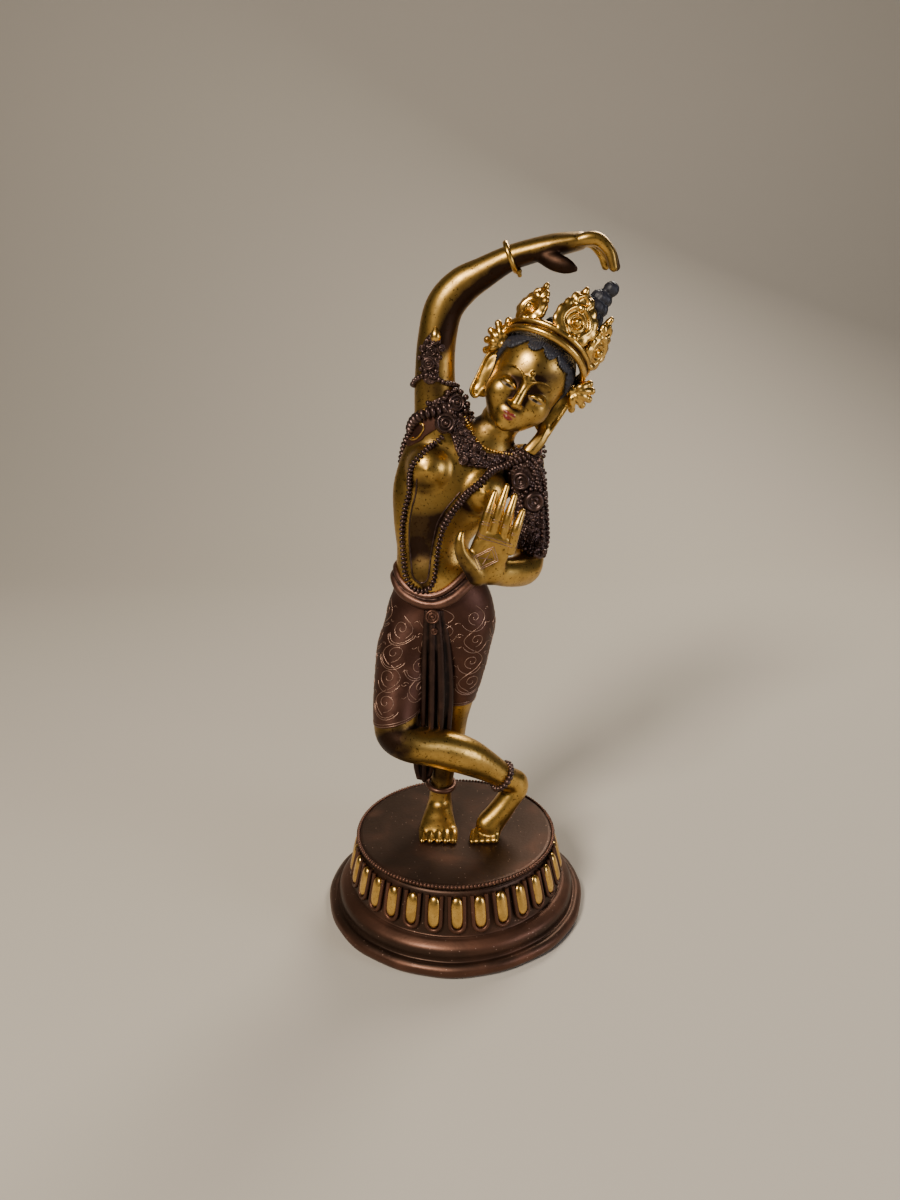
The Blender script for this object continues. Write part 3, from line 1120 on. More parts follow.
def end_tree(tree, geometry, material):
    """Makes instances real, smooths and paints them, and ends the tree."""
    real = add(tree, "GeometryNodeRealizeInstances", {"Geometry": geometry})
    smooth = add(tree, "GeometryNodeSetShadeSmooth", {"Geometry": real.outputs["Geometry"]})
    paint = add(tree, "GeometryNodeSetMaterial", {
        "Geometry": smooth.outputs["Geometry"], "Material": material,
    })
    add(tree, "NodeGroupOutput", {"Geometry": paint.outputs["Geometry"]})
    return tree


def bead_string_tree():
    tree, given = node_tree("bead_string", [
        ("Pitch", "NodeSocketFloat"), ("Radius", "NodeSocketFloat"), ("Flatness", "NodeSocketFloat"),
        ("Unevenness", "NodeSocketFloat"), ("Seed", "NodeSocketInt"), ("Material", "NodeSocketMaterial"),
    ])
    places = add(tree, "GeometryNodeCurveToPoints", {
        "Curve": given["Geometry"], "Length": given["Pitch"],
    }, mode="LENGTH")
    ball = add(tree, "GeometryNodeMeshUVSphere", {"Segments": 10, "Rings": 7, "Radius": given["Radius"]})
    squeeze = add(tree, "ShaderNodeCombineXYZ", {"X": 1.0, "Y": 1.0, "Z": given["Flatness"]})
    bead = add(tree, "GeometryNodeTransform", {
        "Geometry": ball.outputs["Mesh"], "Scale": squeeze.outputs["Vector"],
    })
    least = add(tree, "ShaderNodeMath", {0: 1.0, 1: given["Unevenness"]}, operation="SUBTRACT")
    size = add(tree, "FunctionNodeRandomValue", {
        2: least.outputs["Value"], 3: 1.0, "Seed": given["Seed"],
    }, data_type="FLOAT")
    strung = add(tree, "GeometryNodeInstanceOnPoints", {
        "Points": places.outputs["Points"], "Instance": bead.outputs["Geometry"],
        "Rotation": places.outputs["Rotation"], "Scale": size.outputs[1],
    })
    return end_tree(tree, strung.outputs["Instances"], given["Material"])


def boss_tree():
    tree, given = node_tree("bosses", [("Boss", "NodeSocketObject"), ("Material", "NodeSocketMaterial")])
    shape = add(tree, "GeometryNodeObjectInfo", {"Object": given["Boss"]})
    facing = add(tree, "GeometryNodeInputNamedAttribute", {"Name": "facing"}, data_type="FLOAT_VECTOR")
    size = add(tree, "GeometryNodeInputNamedAttribute", {"Name": "size"}, data_type="FLOAT")
    turned = add(
        tree, "FunctionNodeAlignRotationToVector", {"Vector": facing.outputs["Attribute"]}, axis="Z",
    )
    placed = add(tree, "GeometryNodeInstanceOnPoints", {
        "Points": given["Geometry"], "Instance": shape.outputs["Geometry"],
        "Rotation": turned.outputs["Rotation"], "Scale": size.outputs["Attribute"],
    })
    return end_tree(tree, placed.outputs["Instances"], given["Material"])


def wire_tree():
    tree, given = node_tree("wires", [
        ("Radius", "NodeSocketFloat"), ("Sides", "NodeSocketInt"), ("Material", "NodeSocketMaterial"),
    ])
    section = add(tree, "GeometryNodeCurvePrimitiveCircle", {
        "Resolution": given["Sides"], "Radius": given["Radius"],
    })
    wire = add(tree, "GeometryNodeCurveToMesh", {
        "Curve": given["Geometry"], "Profile Curve": section.outputs["Curve"], "Fill Caps": True,
    })
    return end_tree(tree, wire.outputs["Mesh"], given["Material"])


BEADS, BOSSES, WIRES = bead_string_tree(), boss_tree(), wire_tree()
print("Node trees:", BEADS.name, BOSSES.name, WIRES.name)

# %% Running the trees
def grown(name, source, tree, sizes):
    """Runs a tree on an object and keeps the result as a plain mesh object of that name."""
    modifier = source.modifiers.new(tree.name, "NODES")
    modifier.node_group = tree
    for item in tree.interface.items_tree:
        if item.in_out == "INPUT" and item.name in sizes:
            modifier[item.identifier] = sizes[item.name]
    bpy.context.view_layer.update()
    mesh = bpy.data.meshes.new_from_object(source.evaluated_get(bpy.context.evaluated_depsgraph_get()))
    source.modifiers.clear()
    bpy.data.objects.remove(source)
    made = bpy.data.objects.new(name, mesh)
    bpy.context.scene.collection.objects.link(made)
    return made


def curves(paths, closed=False):
    """One curve object of several poly splines, from paths in millimetres."""
    data = bpy.data.curves.new("route", "CURVE")
    data.dimensions = "3D"
    for path in paths:
        spline = data.splines.new("POLY")
        spline.points.add(len(path) - 1)
        spline.points.foreach_set(
            "co", np.column_stack([np.asarray(path)[:, :3] * MM, np.ones(len(path))]).ravel(),
        )
        spline.use_cyclic_u = closed
    made = bpy.data.objects.new("route", data)
    bpy.context.scene.collection.objects.link(made)
    return made


def strung(name, paths, radius, pitch, flatness=1.0, material=None, closed=False, seed=3):
    sizes = {
        "Pitch": pitch * MM, "Radius": radius * MM, "Flatness": flatness, "Unevenness": 0.1, "Seed": seed,
    }
    return grown(name, curves(paths, closed), BEADS, {**sizes, "Material": material or JEWEL_COPPER})


def wired(name, paths, radius, material, sides=8, closed=False):
    sizes = {"Radius": radius * MM, "Sides": sides, "Material": material}
    return grown(name, curves(paths, closed), WIRES, sizes)


def hoop(centre, axis, wide, deep=None, turns=48):
    """Points of an oval ring round an axis; wide is measured level, deep across it."""
    axis = Vector(axis).normalized()
    level = axis.cross(Vector((0, 1, 0))).normalized()
    other = axis.cross(level)
    angles = np.linspace(0, 2 * math.pi, turns, endpoint=False)
    deep = deep or wide
    return np.array(
        [Vector(centre) + level * (wide * math.cos(a)) + other * (deep * math.sin(a))
        for a in angles]
    )


print("A test hoop has", len(hoop((0, 0, 0), (0, 0, 1), 5)), "points")

# %% [markdown]
# A boss is a small turned flower: a bead in a ring in a wider ring. It is a profile spun round an axis, and
# its radius is 1, so that the tree can scale it. A coil is a thick ring with a dished middle, and a stud is
# the small knob that fills the gaps.

# %% Bosses, coils and studs
def lathe(profile, turns):
    """Spins a closed profile of radius and height about the z axis; ends on the axis are closed by fans."""
    inner = [row for row in profile if row[0] > 1e-6]
    angles = np.linspace(0, 2 * math.pi, turns, endpoint=False)
    points = [(r * math.cos(a), r * math.sin(a), z) for r, z in inner for a in angles]
    faces = []
    for i in range(len(inner) - 1):
        for j in range(turns):
            k = (j + 1) % turns
            faces.append([i * turns + j, i * turns + k, (i + 1) * turns + k, (i + 1) * turns + j])
    last = len(inner) - 1
    points.extend([(0, 0, profile[0][1]), (0, 0, profile[-1][1])])
    for j in range(turns):
        k = (j + 1) % turns
        faces.append([len(points) - 2, k, j])
        faces.append([len(points) - 1, last * turns + j, last * turns + k])
    return np.array(points), faces


BOSS_PROFILE = [
    (0, -0.5), (0.96, -0.5), (1.0, 0.0), (0.97, 0.2), (0.88, 0.33), (0.76, 0.33), (0.68, 0.2), (0.62, 0.12),
    (0.56, 0.3), (0.48, 0.42), (0.4, 0.4), (0.34, 0.2), (0.28, 0.4), (0.2, 0.56), (0.1, 0.64), (0, 0.66),
]
COIL_PROFILE = [
    (0, -0.5), (0.96, -0.5), (1.0, 0.05), (0.95, 0.3), (0.82, 0.44), (0.66, 0.4), (0.56, 0.22), (0.5, 0.1),
    (0.4, 0.24), (0.28, 0.28), (0.2, 0.12), (0.1, 0.04), (0, 0.04),
]
STUD_PROFILE = [(0, -0.6), (0.9, -0.6), (1.0, 0.0), (0.8, 0.5), (0.42, 0.82), (0, 0.92)]
shapes = {}
for name, profile, turns in (
    ("boss", BOSS_PROFILE, 20), ("coil", COIL_PROFILE, 22), ("stud", STUD_PROFILE, 9),
):
    shapes[name] = mesh_piece(name + "_shape", *lathe(profile, turns), JEWEL_COPPER)
TURNED_TO_VIEWER = 0.7


def set_on(name, shape, rows, material=None):
    """Copies of a shape at rows of (place, facing, radius) in millimetres."""
    mesh = bpy.data.meshes.new("seats")
    mesh.from_pydata([tuple(Vector(place) * MM) for place, _, _ in rows], [], [])
    facing = mesh.attributes.new("facing", "FLOAT_VECTOR", "POINT")
    facing.data.foreach_set("vector", np.array([tuple(f) for _, f, _ in rows], np.float32).ravel())
    size = mesh.attributes.new("size", "FLOAT", "POINT")
    size.data.foreach_set("value", [radius for _, _, radius in rows])
    seats = bpy.data.objects.new("seats", mesh)
    bpy.context.scene.collection.objects.link(seats)
    return grown(name, seats, BOSSES, {"Boss": shapes[shape], "Material": material or JEWEL_COPPER})


def seated(rows, lift):
    """Seats for shapes on the dressed body, turned halfway between its normal and the viewer."""
    seats = []
    for x, y, z, radius in rows:
        place, normal = laid(dressed_surface, (x, y, z), lift)
        toward = normal + (Vector(CAMERA_PLACE) - place).normalized() * TURNED_TO_VIEWER
        seats.append((place, toward.normalized(), radius))
    return seats


print("Shapes to repeat:", ", ".join(shapes))

# %% [markdown]
# The long strand falls from the shoulders in a loop to the navel: flat copper beads on the left, a thicker
# ribbed cord up to the other shoulder, and inside both a raised line that edges the brown middle panel. A
# scaled band rounds the raised shoulder, and strings of beads go round the arms.

# %% Strands
LONG_STRAND = [
    (-3.1, -7.4, 199.2), (-7.1, -7.6, 195.7), (-11, -7.6, 192.2), (-13.9, -9, 188.9), (-14.6, -9, 184.5),
    (-15.2, -8, 178.9), (-16.8, -7, 173.1), (-17.9, -7, 166.6), (-18.1, -6.6, 159.9), (-17.7, -7, 153.9),
    (-17.2, -8, 147.8), (-15.5, -10, 144.4), (-12.2, -11.4, 142.6), (-8.7, -11.4, 143.4),
    (-6.8, -11, 146.8), (-6.1, -10, 151.6), (-5.4, -9.6, 157.1), (-4.5, -9, 161.3), (-3.2, -8.6, 166.5),
]
CORD = [
    (-3.2, -8.6, 166.5), (-0.7, -9, 171), (2.1, -10.4, 174.8), (5.4, -11, 178.8), (9.4, -12, 181.8),
    (13.6, -10, 185.6), (17.5, -8.6, 188.1), (23.5, -6, 189.8), (28.4, -4.4, 191.5),
]
keep(
    strung("long_strand", [laid_path(body_surface, LONG_STRAND, 1.2, 0.75)], 1.25, 1.6, 0.62),
)
keep(strung("ribbed_cord", [laid_path(dressed_surface, CORD, 1.2, 0.9)], 1.7, 1.5, 0.6))
EDGE_INSET = 2.2
PANEL_EDGE = [(x + EDGE_INSET, y, z) for x, y, z in LONG_STRAND[4:11]]
PANEL_EDGE += [(-14, -10, 146.6), (-11.8, -11.4, 145.4), (-9.8, -11.4, 146)]
PANEL_EDGE += [(x - EDGE_INSET, y, z + 1) for x, y, z in (*LONG_STRAND[14:18], *CORD[:4])]
keep(
    wired("panel_edge", [laid_path(body_surface, PANEL_EDGE, 1, 0.05)], 0.32, JEWEL_COPPER, 6),
)
SHOULDER_BAND = [
    (0, -5, 209.6), (-4, -6, 208.6), (-7, -6, 208), (-9.8, -5, 207.4), (-13.3, -1, 204.7), (-16, 3, 200.3),
    (-18.3, 6, 194.2), (-19.4, 8.4, 188.6),
]
band_path = laid_path(body_surface, SHOULDER_BAND, 1.5, 1.0, seen=False)
keep(strung("shoulder_band", [band_path[:14]], 2.4, 1.9, 0.5))
keep(strung("shoulder_band_end", [band_path[13:]], 1.7, 1.7, 0.55))
ARM_STRING = [
    (-13.4, 3, 217.2), (-12.4, -1, 218.4), (-10.4, -4, 220.2), (-8, -5, 221), (-5.4, -6, 220.4),
    (-2.1, -6, 218.3), (2, -5, 217.6),
]
ARM_STRING_BEHIND = [
    (2, -5, 217.6), (3.4, 0, 217), (2.4, 7, 216), (-4, 11.4, 216), (-11, 9.4, 216.6), (-13.6, 5, 217),
]
string_paths = [
    laid_path(body_surface, ARM_STRING, 1, 0.7),
    laid_path(body_surface, ARM_STRING_BEHIND, 1, 0.7, seen=False),
]
keep(strung("arm_string", string_paths, 1.1, 1.6, 0.8))
ARMLET_EDGES = [
    [
        (30, -4, 190), (33.4, -2, 185), (35.6, 0, 178), (36.4, 0, 171), (36.4, -1, 164), (36, -3, 157),
        (34.6, -5, 154.6),
    ],
    [(32, 2, 187), (35, 3.6, 179), (35.6, 3.4, 171), (35.4, 2, 163), (35, 1, 157)],
    [(28, -6, 188), (30.6, -6, 186.6), (33.6, -4, 180), (34.6, -4, 172), (34.6, -5, 165), (33.8, -6, 160)],
    [(24, -7, 163), (25.6, -9, 158), (28.4, -9, 156.6), (31.6, -8, 155.6), (34.6, -5, 154.6)],
    [(36, 0, 176), (34, 6, 176.6), (29, 9, 177), (24, 6, 177), (22.6, 0, 177)],
    [(36, -2, 160), (34, 4, 160), (29, 7.4, 160), (24.4, 3, 160.6), (24, -3, 162)],
]
edge_paths = [laid_path(dressed_surface, route, 1.2, 0.4, seen=False) for route in ARMLET_EDGES]
keep(strung("armlet_edges", edge_paths, 0.95, 1.65))

# %% [markdown]
# Bosses sit in groups: a large one ringed with pearls on the raised shoulder, a plain ringed drop below it,
# smaller ones down the neck and the far arm, and a cluster up the raised arm under a drop with a gilt tip.
# Studs fill what is left of the plates. They are scattered by trying each point of a plate in a seeded
# random order, and keeping it if it is far enough from those already kept.

# %% Bosses, pearls and studs
BOSS_SEATS = [
    (5, -7, 212.3, 3.2), (-2, -8, 204.4, 3.6), (30.9, -6, 193.3, 2.5), (-6.3, -6, 229.6, 1.8),
    (-9.3, -4, 230.2, 1.3), (-3.2, -5, 230.1, 1.3), (-7.4, -6, 225, 2.3), (-4.7, -6, 232.4, 1.5),
    (9.4, -8, 195.5, 1.8), (4.8, -7, 195.3, 1.4), (5.1, -9, 191.2, 2), (4.3, -6, 200.3, 1.4),
    (8.6, -9, 190.8, 1.3), (14.3, -9, 191.4, 1.3), (11.6, -9, 193.4, 1.1), (33.1, -3, 165.4, 1.6),
    (25.7, -8, 159.6, 1.7), (29.4, -6, 160.5, 1.5), (32.9, -4, 158.1, 1.9), (27.3, -6, 168.2, 1.4),
]
COIL_SEATS = [(25.7, -8, 183.2, 3.6), (30.2, -6, 175.3, 3.9)]
KNOB_SEATS = [
    (-10.1, -5, 227, 1), (-3.6, -6, 226.9, 1), (-9.8, -5, 223.1, 1), (-4.7, -6, 222.4, 1.1),
    (34.5, -4, 154.7, 1.4), (28, -6, 189.6, 1.3), (32.6, -4, 189.4, 1.2), (26.4, -6, 192.4, 1.1),
    (0.2, -7, 208, 1.5), (1.4, -8, 205, 1), (-7.4, -6, 211, 1.2), (18.6, -8, 192, 1),
    (-14.2, 2, 217.2, 1.2),
]
boss_seats = seated(BOSS_SEATS, 0.8)
keep(set_on("jewel_bosses", "boss", boss_seats))
coil_seats = seated(COIL_SEATS, 0.7)
keep(set_on("jewel_coils", "coil", coil_seats))
knobs = seated(KNOB_SEATS, 0.5)
PEARL_RINGS = [
    (boss_seats[0], 4.6, 1.15, 11), (boss_seats[2], 3.4, 0.85, 11), (coil_seats[1], 4.7, 0.9, 15),
]
for (place, toward, _), circle, pearl, count in PEARL_RINGS:
    flat = toward.orthogonal().normalized()
    side = toward.cross(flat)
    for a in np.linspace(0, 2 * math.pi, count, endpoint=False):
        out = circle * (flat * math.cos(a) + side * math.sin(a))
        knobs.append((place + out - toward * 0.3, toward, pearl))
STUD_SPACING, STUD_RADIUS, PLATE_RISE = 1.75, 0.8, 0.8
plate_points = plate_skin[0]
order = np.random.default_rng(7).permutation(len(plate_points))
taken = np.array([tuple(seat[0]) for seat in boss_seats + coil_seats])
clear = np.array([seat[2] for seat in boss_seats + coil_seats])
for i in order:
    place = plate_points[i]
    if (np.linalg.norm(taken - place, axis=1) > clear + STUD_SPACING / 2).all():
        _, normal, _, rise = body_surface.find_nearest(Vector(place))
        if rise > PLATE_RISE:
            knobs.append((Vector(place), normal, STUD_RADIUS))
            taken = np.vstack([taken, place])
            clear = np.append(clear, STUD_SPACING / 2)
keep(set_on("pearls_and_studs", "stud", knobs))
print("Bosses:", len(boss_seats), "and knobs:", len(knobs))

# %% Gilt details: the drop's tip, the collar's toothed edge and the flap's curl
tip_x, tip_y, _ = laid(body_surface, (-4.7, -6, 235), 0.6)[0]
drop = Clay((-8, -14, 228), (0, 4, 240), 0.25)
drop.limb([(tip_x, tip_y, z, radius) for z, radius in ((232.6, 1.1), (234.2, 1.9), (236.8, 0.7))], 0.3)
clay_piece("drop_tip", drop.skin(soften=0), BRIGHT_GILDING, brown=0.0)
TEETH = [
    (5.2, -5, 206), (7.4, -5, 202.1), (8.6, -6.6, 199), (10.5, -8, 196.8), (13, -8, 194.8),
    (15.7, -8, 193.9), (19, -7, 193), (22.4, -6, 192.4),
]
teeth_path = laid_path(dressed_surface, TEETH, 0.8, 0.1)
keep(strung("collar_teeth", [teeth_path], 0.75, 1.15, 0.55, BRIGHT_GILDING))
CURL = [
    (-15.6, -2, 199.2), (-14.8, -4, 198.2), (-13, -5, 198.2), (-11.2, -6, 199.6), (-9.6, -6, 202),
    (-9.6, -6, 203.8), (-10.8, -5, 204),
]
keep(wired("flap_curl", [laid_path(dressed_surface, CURL, 0.8, 0.15)], 0.42, BRIGHT_GILDING, 8))

# %% [markdown]
# The belt is two rolls of cloth round the hips with a flat band between, sagging in front, and has a round
# clasp. Each roll follows the skin of the hips at its own height. From the belt hangs a narrow pleated cloth
# between the thighs and, behind, a flat sash down to the ankle.

# %% Belt and clasp
hips_surface = surface_of(upper_skin, trouser_skin)
UPPER_ROLL = [
    (-21.4, 0, 149), (-19.4, -6, 144.6), (-14.7, -10.4, 140.8), (-8, -12.6, 139.9), (-1.4, -12, 142.6),
    (5.4, -8.6, 148), (10, 0, 151), (6, 9.6, 150), (-6, 13.6, 149), (-17, 9.4, 149.4),
]
LOWER_ROLL = [
    (-22.6, 0, 145.4), (-20.2, -7, 141.2), (-13.6, -12, 137.8), (-7, -13.4, 136.9), (-0.4, -12, 139),
    (6.4, -8, 144), (11.6, 0, 147), (7.4, 10, 146.4), (-6, 14.4, 145), (-18.4, 10, 145.2),
]
BETWEEN_ROLLS = np.add(UPPER_ROLL, LOWER_ROLL) / 2


def roll(stations, lift):
    """A closed route round the hips, laid on them and evened out."""
    path = spaced(smooth_path(stations, 10, closed=True), 1.2)[:-1]
    path = np.array([laid(hips_surface, row, lift, seen=False)[0] for row in path])
    for _ in range(4):
        path = (np.roll(path, 1, 0) + path + np.roll(path, -1, 0)) / 3
    return path


belt = Clay((-29, -22, 130), (19, 22, 156), 0.42)
CREST = 0.5
for stations, radius, lift in ((UPPER_ROLL, 1.1, 0.5), (BETWEEN_ROLLS, 1.5, -0.5), (LOWER_ROLL, 2, 0.6)):
    path = roll(stations, lift)
    crest = path + (0, 0, radius * 0.95)
    for line, size, blend in ((path, radius, 0.1), (crest, CREST, 0.15)):
        belt.limb(np.column_stack([line, np.full(len(line), size)]), blend, (0, 0, 1), closed=True, steps=1)
belt_skin = belt.skin(soften=0, coarse=2)
clay_piece("belt", belt_skin, BELT_COPPER, BROWN_SLOT)

# %% Pleated cloth and sash
FOLDS = [
    [
        (-9.8, -10.4, 134, 1.2), (-10.6, -11, 122, 1.4), (-11.4, -11.4, 108, 1.5), (-12, -11.6, 96, 1.4),
        (-12.4, -11.4, 86, 1.1),
    ],
    [
        (-7.8, -11.6, 134, 1.2), (-8, -12.6, 122, 1.3), (-8.4, -13, 108, 1.3), (-8.8, -13, 96, 1.3),
        (-9.2, -13, 86, 1.2),
    ],
    [
        (-5.8, -11.6, 134, 1.2), (-5.2, -12, 122, 1.5), (-5, -12.2, 108, 1.6), (-5.2, -12, 96, 1.5),
        (-5.6, -11.6, 85, 1.2),
    ],
    [
        (-4, -10.4, 134, 1.1), (-2.6, -9.6, 122, 1.5), (-1.8, -9, 108, 1.7), (-1.8, -8.4, 96, 1.6),
        (-2.4, -8.6, 84, 1.2),
    ],
]
BACKING = [
    (-7, -8.4, 134, 3.6, 3), (-7, -8, 122, 5, 4), (-6.6, -7, 108, 6, 5), (-6.6, -6, 96, 6.2, 5),
    (-7, -5, 86, 6, 4.4),
]
SASH = [
    (-4, 13.6, 143.6, 6.4, 1.6), (-3.4, 15.6, 134, 6.8, 1.8), (-4.6, 18.6, 122, 6.8, 1.8),
    (-6, 15.8, 108, 6.4, 1.8), (-9.4, 12.6, 92, 5.6, 1.7), (-12, 12, 80, 5, 1.6), (-13.2, 8, 64, 4.2, 1.4),
    (-13.4, 6.6, 54, 3, 1.2),
]
SASH_RIDGE = [
    (-4, 15, 143, 0.9, 0.7), (-3.4, 17.3, 134, 1, 1), (-4.6, 20.2, 122, 1, 1), (-6, 17.5, 108, 1, 1),
    (-12, 13.4, 80, 0.8, 0.9), (-13.2, 9, 62, 0.6, 0.8),
]
SASH_FOLDS = [
    *[
        [(x + u * spread, y, z, size) for x, y, z, spread, size in SASH_RIDGE]
        for u in (-5.2, -1.8, 1.8, 5.2)
    ],
    [(-14.8, 10.4, 80, 1.2), (-16.2, 6.6, 62, 1.3), (-15.4, 5.6, 54.6, 1)],
    [(-6, 14.4, 100, 1.2), (-11.6, 10, 80, 1.2), (-12.8, 6, 62, 1.3), (-13, 5.2, 53.4, 1)],
    [(-3.4, 14.4, 108, 1.2), (-8.6, 10.2, 80, 1.2), (-9.6, 6.4, 62, 1.2), (-10.6, 5.8, 55.4, 1)],
]
cloth = Clay((-24, -21, 44), (10, 24, 145), 0.48)
cloth.limb(BACKING, 1)
cloth.limb(SASH, 1)
for fold in FOLDS + SASH_FOLDS:
    cloth.limb(fold, 0.5)
cloth_skin = cloth.skin(soften=0, coarse=2)
clay_piece("pleated_cloth_and_sash", cloth_skin, DARK_CLOTH_COPPER, BROWN_SLOT)
clasp_seat = surface_of(belt_skin, cloth_skin)
CLASP = [(-7.8, -13, 132.9, 2.8), (-7.4, -13, 126.9, 1.3)]
clasp = [(laid(clasp_seat, row, 0.6)[0], (0, -1, 0.15), row[3]) for row in CLASP]
keep(set_on("belt_clasp", "boss", clasp, BELT_COPPER))

# %% [markdown]
# The trousers are covered with engraved vines. A graver throws up a bright burr beside its cut, and the burr
# is what the eye sees, so it is drawn: hair-thin wires half sunk in the cloth. The pattern is laid out flat,
# as distance round the thigh and height, and cast on to the cloth from outside towards the thigh's axis.

# %% Engraved vines
BURR = 0.14
CLEARANCE = 9
LEAP = 2.6
vines = np.random.default_rng(11)


def on_thigh(axis_rows, flat):
    """Stretches of line on the cloth from rows of (distance round the thigh from the front, height)."""
    axis = smooth_path([row[:4] for row in axis_rows], 8)[::-1]
    stretches = [[]]
    for round_by, z in flat:
        x, y, size = (float(np.interp(z, axis[:, 2], axis[:, i])) for i in (0, 1, 3))
        angle = round_by / size
        way = Vector((math.sin(angle), -math.cos(angle), 0))
        reach = size + CLEARANCE
        hit, normal, _, _ = trouser_surface.ray_cast(Vector((x, y, z)) + way * reach, -way, reach)
        if hit is None or (stretches[-1] and (hit - stretches[-1][-1]).length > LEAP):
            stretches.append([])
        if hit is not None:
            stretches[-1].append(hit + normal * 0.02)
    return [np.array([tuple(p) for p in stretch]) for stretch in stretches if len(stretch) > 3]


def scroll(centre, size, side):
    """A spiral that leaves the stem below its middle and winds in."""
    turns = np.linspace(0, 1, 22)
    wind = -math.pi / 2 - side * 8.4 * turns
    reach = size * (1 - 0.86 * turns ** 0.9)
    return [(centre[0] + r * math.cos(w), centre[1] + r * math.sin(w)) for r, w in zip(reach, wind)]


def vine(columns, low, high, wave, swing):
    """Winding stems up the thigh, a spiral in each bend and small leaves outside it."""
    drawn = []
    for j, u in enumerate(columns):
        shift = low + 0.5 * wave * (j % 2)
        for i, z in enumerate(np.arange(shift, high, wave)):
            side = 1 if i % 2 else -1
            middle = u + vines.uniform(-0.4, 0.4)
            heights = np.linspace(-0.5, 0.5, 9) * wave
            drawn.append([(middle + side * swing * math.cos(math.pi * h / wave), z + h) for h in heights])
            drawn.append(scroll((middle - side * 0.5, z), swing * vines.uniform(0.72, 0.95), side))
            for reach in (1.26, 1.46)[:vines.integers(1, 3)]:
                fan = np.linspace(-2.9, -0.5, 12) + vines.uniform(-0.3, 0.3)
                foot, size = (middle - side * 0.5, z - 0.6), swing * reach
                drawn.append([(foot[0] + size * math.cos(a), foot[1] + size * math.sin(a)) for a in fan])
            for lift in (-0.26, 0.26):
                start = (middle + side * (swing + 0.6), z + wave * lift)
                drawn.append(
                    [(start[0] + side * 0.42 * k, start[1] + lift * 2.2 * k - lift * 0.5 * k * k)
                    for k in range(5)]
                )
    return drawn


def hem_lines(size, hem, lifts):
    """Lines round a thigh of that size, parallel to its hem."""
    (_, _, z), (a, b, c) = hem
    angles = np.linspace(-math.pi, math.pi, 90)
    slope = [(a * math.sin(t) - b * math.cos(t)) * size / c for t in angles]
    return [[(t * size, z + lift - rise) for t, rise in zip(angles, slope)] for lift in lifts]


COLUMNS = np.arange(-31, 32, 11.6)
STANDING_VINE = vine(COLUMNS, 98.5, 135, 9.2, 3.9) + hem_lines(8.4, STANDING_HEM, (0.9, 1.8))
CROSSING_VINE = vine(COLUMNS + 3, 99.5, 135, 9.2, 3.9) + hem_lines(9, CROSSING_HEM, (0.9, 1.8))
lines = []
for axis_rows, drawn in ((STANDING_LEG[:4], STANDING_VINE), (CROSSING_LEG[:5], CROSSING_VINE)):
    for flat in drawn:
        lines.extend(on_thigh(axis_rows, flat))
keep(wired("engraved_vines", lines, BURR, LINE_COPPER, 5))
print("Engraved lines:", len(lines))

# %% Rings on wrist and ankles
BRACELET = hoop((21.6, -2.2, 260.1), (0.9, -0.12, 0.36), 4.95, 5.0)
keep(wired("bracelet", [BRACELET], 0.95, GILDING, 10, closed=True))
knob = Clay((20, -6, 251), (30, 2, 259), 0.25)
knob.egg((24.3, -2.6, 255.5), (1.3, 1.3, 1.2), 0.3)
knob.egg((24.8, -2.8, 254.1), (0.8, 0.8, 0.8), 0.3)
clay_piece("bracelet_knob", knob.skin(soften=0), GILDING, brown=0.3)
PLAIN_ANKLET = hoop((-5.9, 8, 50.4), (0.1, -0.08, 1), 5.7, 6.2)
keep(wired("plain_anklet", [PLAIN_ANKLET], 1.15, BELT_COPPER, 10, closed=True))
BEADED_ANKLET = hoop((19.2, -5.4, 60.8), (0.75, 0.28, -0.6), 5.7, 5.7)
keep(strung("beaded_anklet", [BEADED_ANKLET], 1.35, 1.95, 0.95, JEWEL_COPPER, closed=True))

# %% [markdown]
# The open palm carries a small engraved lozenge, two lines where the fingers begin and pairs of lines at the
# joints. They are plain strokes, drawn like the vines.

# %% Engraved palm
PALM_FRONT = -27
LOZENGE = [(7.6, 159.7), (14.7, 163.2), (16.2, 158), (9.5, 154.7)]
palm_lines = []
for share in (1, 0.78):
    middle = np.mean(LOZENGE, axis=0)
    corners = [middle + (np.array(c) - middle) * share for c in LOZENGE]
    for start, end in zip(corners, corners[1:] + corners[:1]):
        palm_lines.append([(*start, 0), (*((start + end) / 2), 0), (*end, 0)])
for ends in ((0, 2), (1, 3)):
    start, end = (np.array(LOZENGE[i]) for i in ends)
    palm_lines.append([(*(start * (1 - share) + end * share), 0) for share in (0.25, 0.5, 0.75)])
FINGERS_BEGIN = ((8.4, 169.2), (10.5, 167.4), (15.2, 165.9), (19, 164.6), (21.3, 163.8))
for drop in (0, 1.1):
    palm_lines.append([(x, z - drop, 0) for x, z in FINGERS_BEGIN])
for finger in finger_routes:
    base, tip = np.array(finger[1])[[0, 2]], np.array(finger[3])[[0, 2]]
    along = (tip - base) / np.linalg.norm(tip - base)
    side = np.array([-along[1], along[0]]) * 1.35
    for share in (0.2, 0.26, 0.52, 0.58):
        middle = base + (tip - base) * share
        palm_lines.append([(*(middle - side), 0), (*middle, 0), (*(middle + side), 0)])
palm_paths = [
    laid_path(body_surface, [(x, PALM_FRONT, z) for x, z, _ in line], 0.6, 0.03)
    for line in palm_lines
]
keep(wired("engraved_palm", palm_paths, 0.15, LINE_COPPER, 5))
print("Palm lines:", len(palm_paths))

# %% [markdown]
# The pedestal was turned and then chased. Its profile runs from a rolled foot over a groove and a swelling
# to the wall behind the lotus tongues, and up under the disc. Spinning the profile is the obvious way; the
# foot is then pushed a little off centre and waved, because the old rim is neither round nor centred.

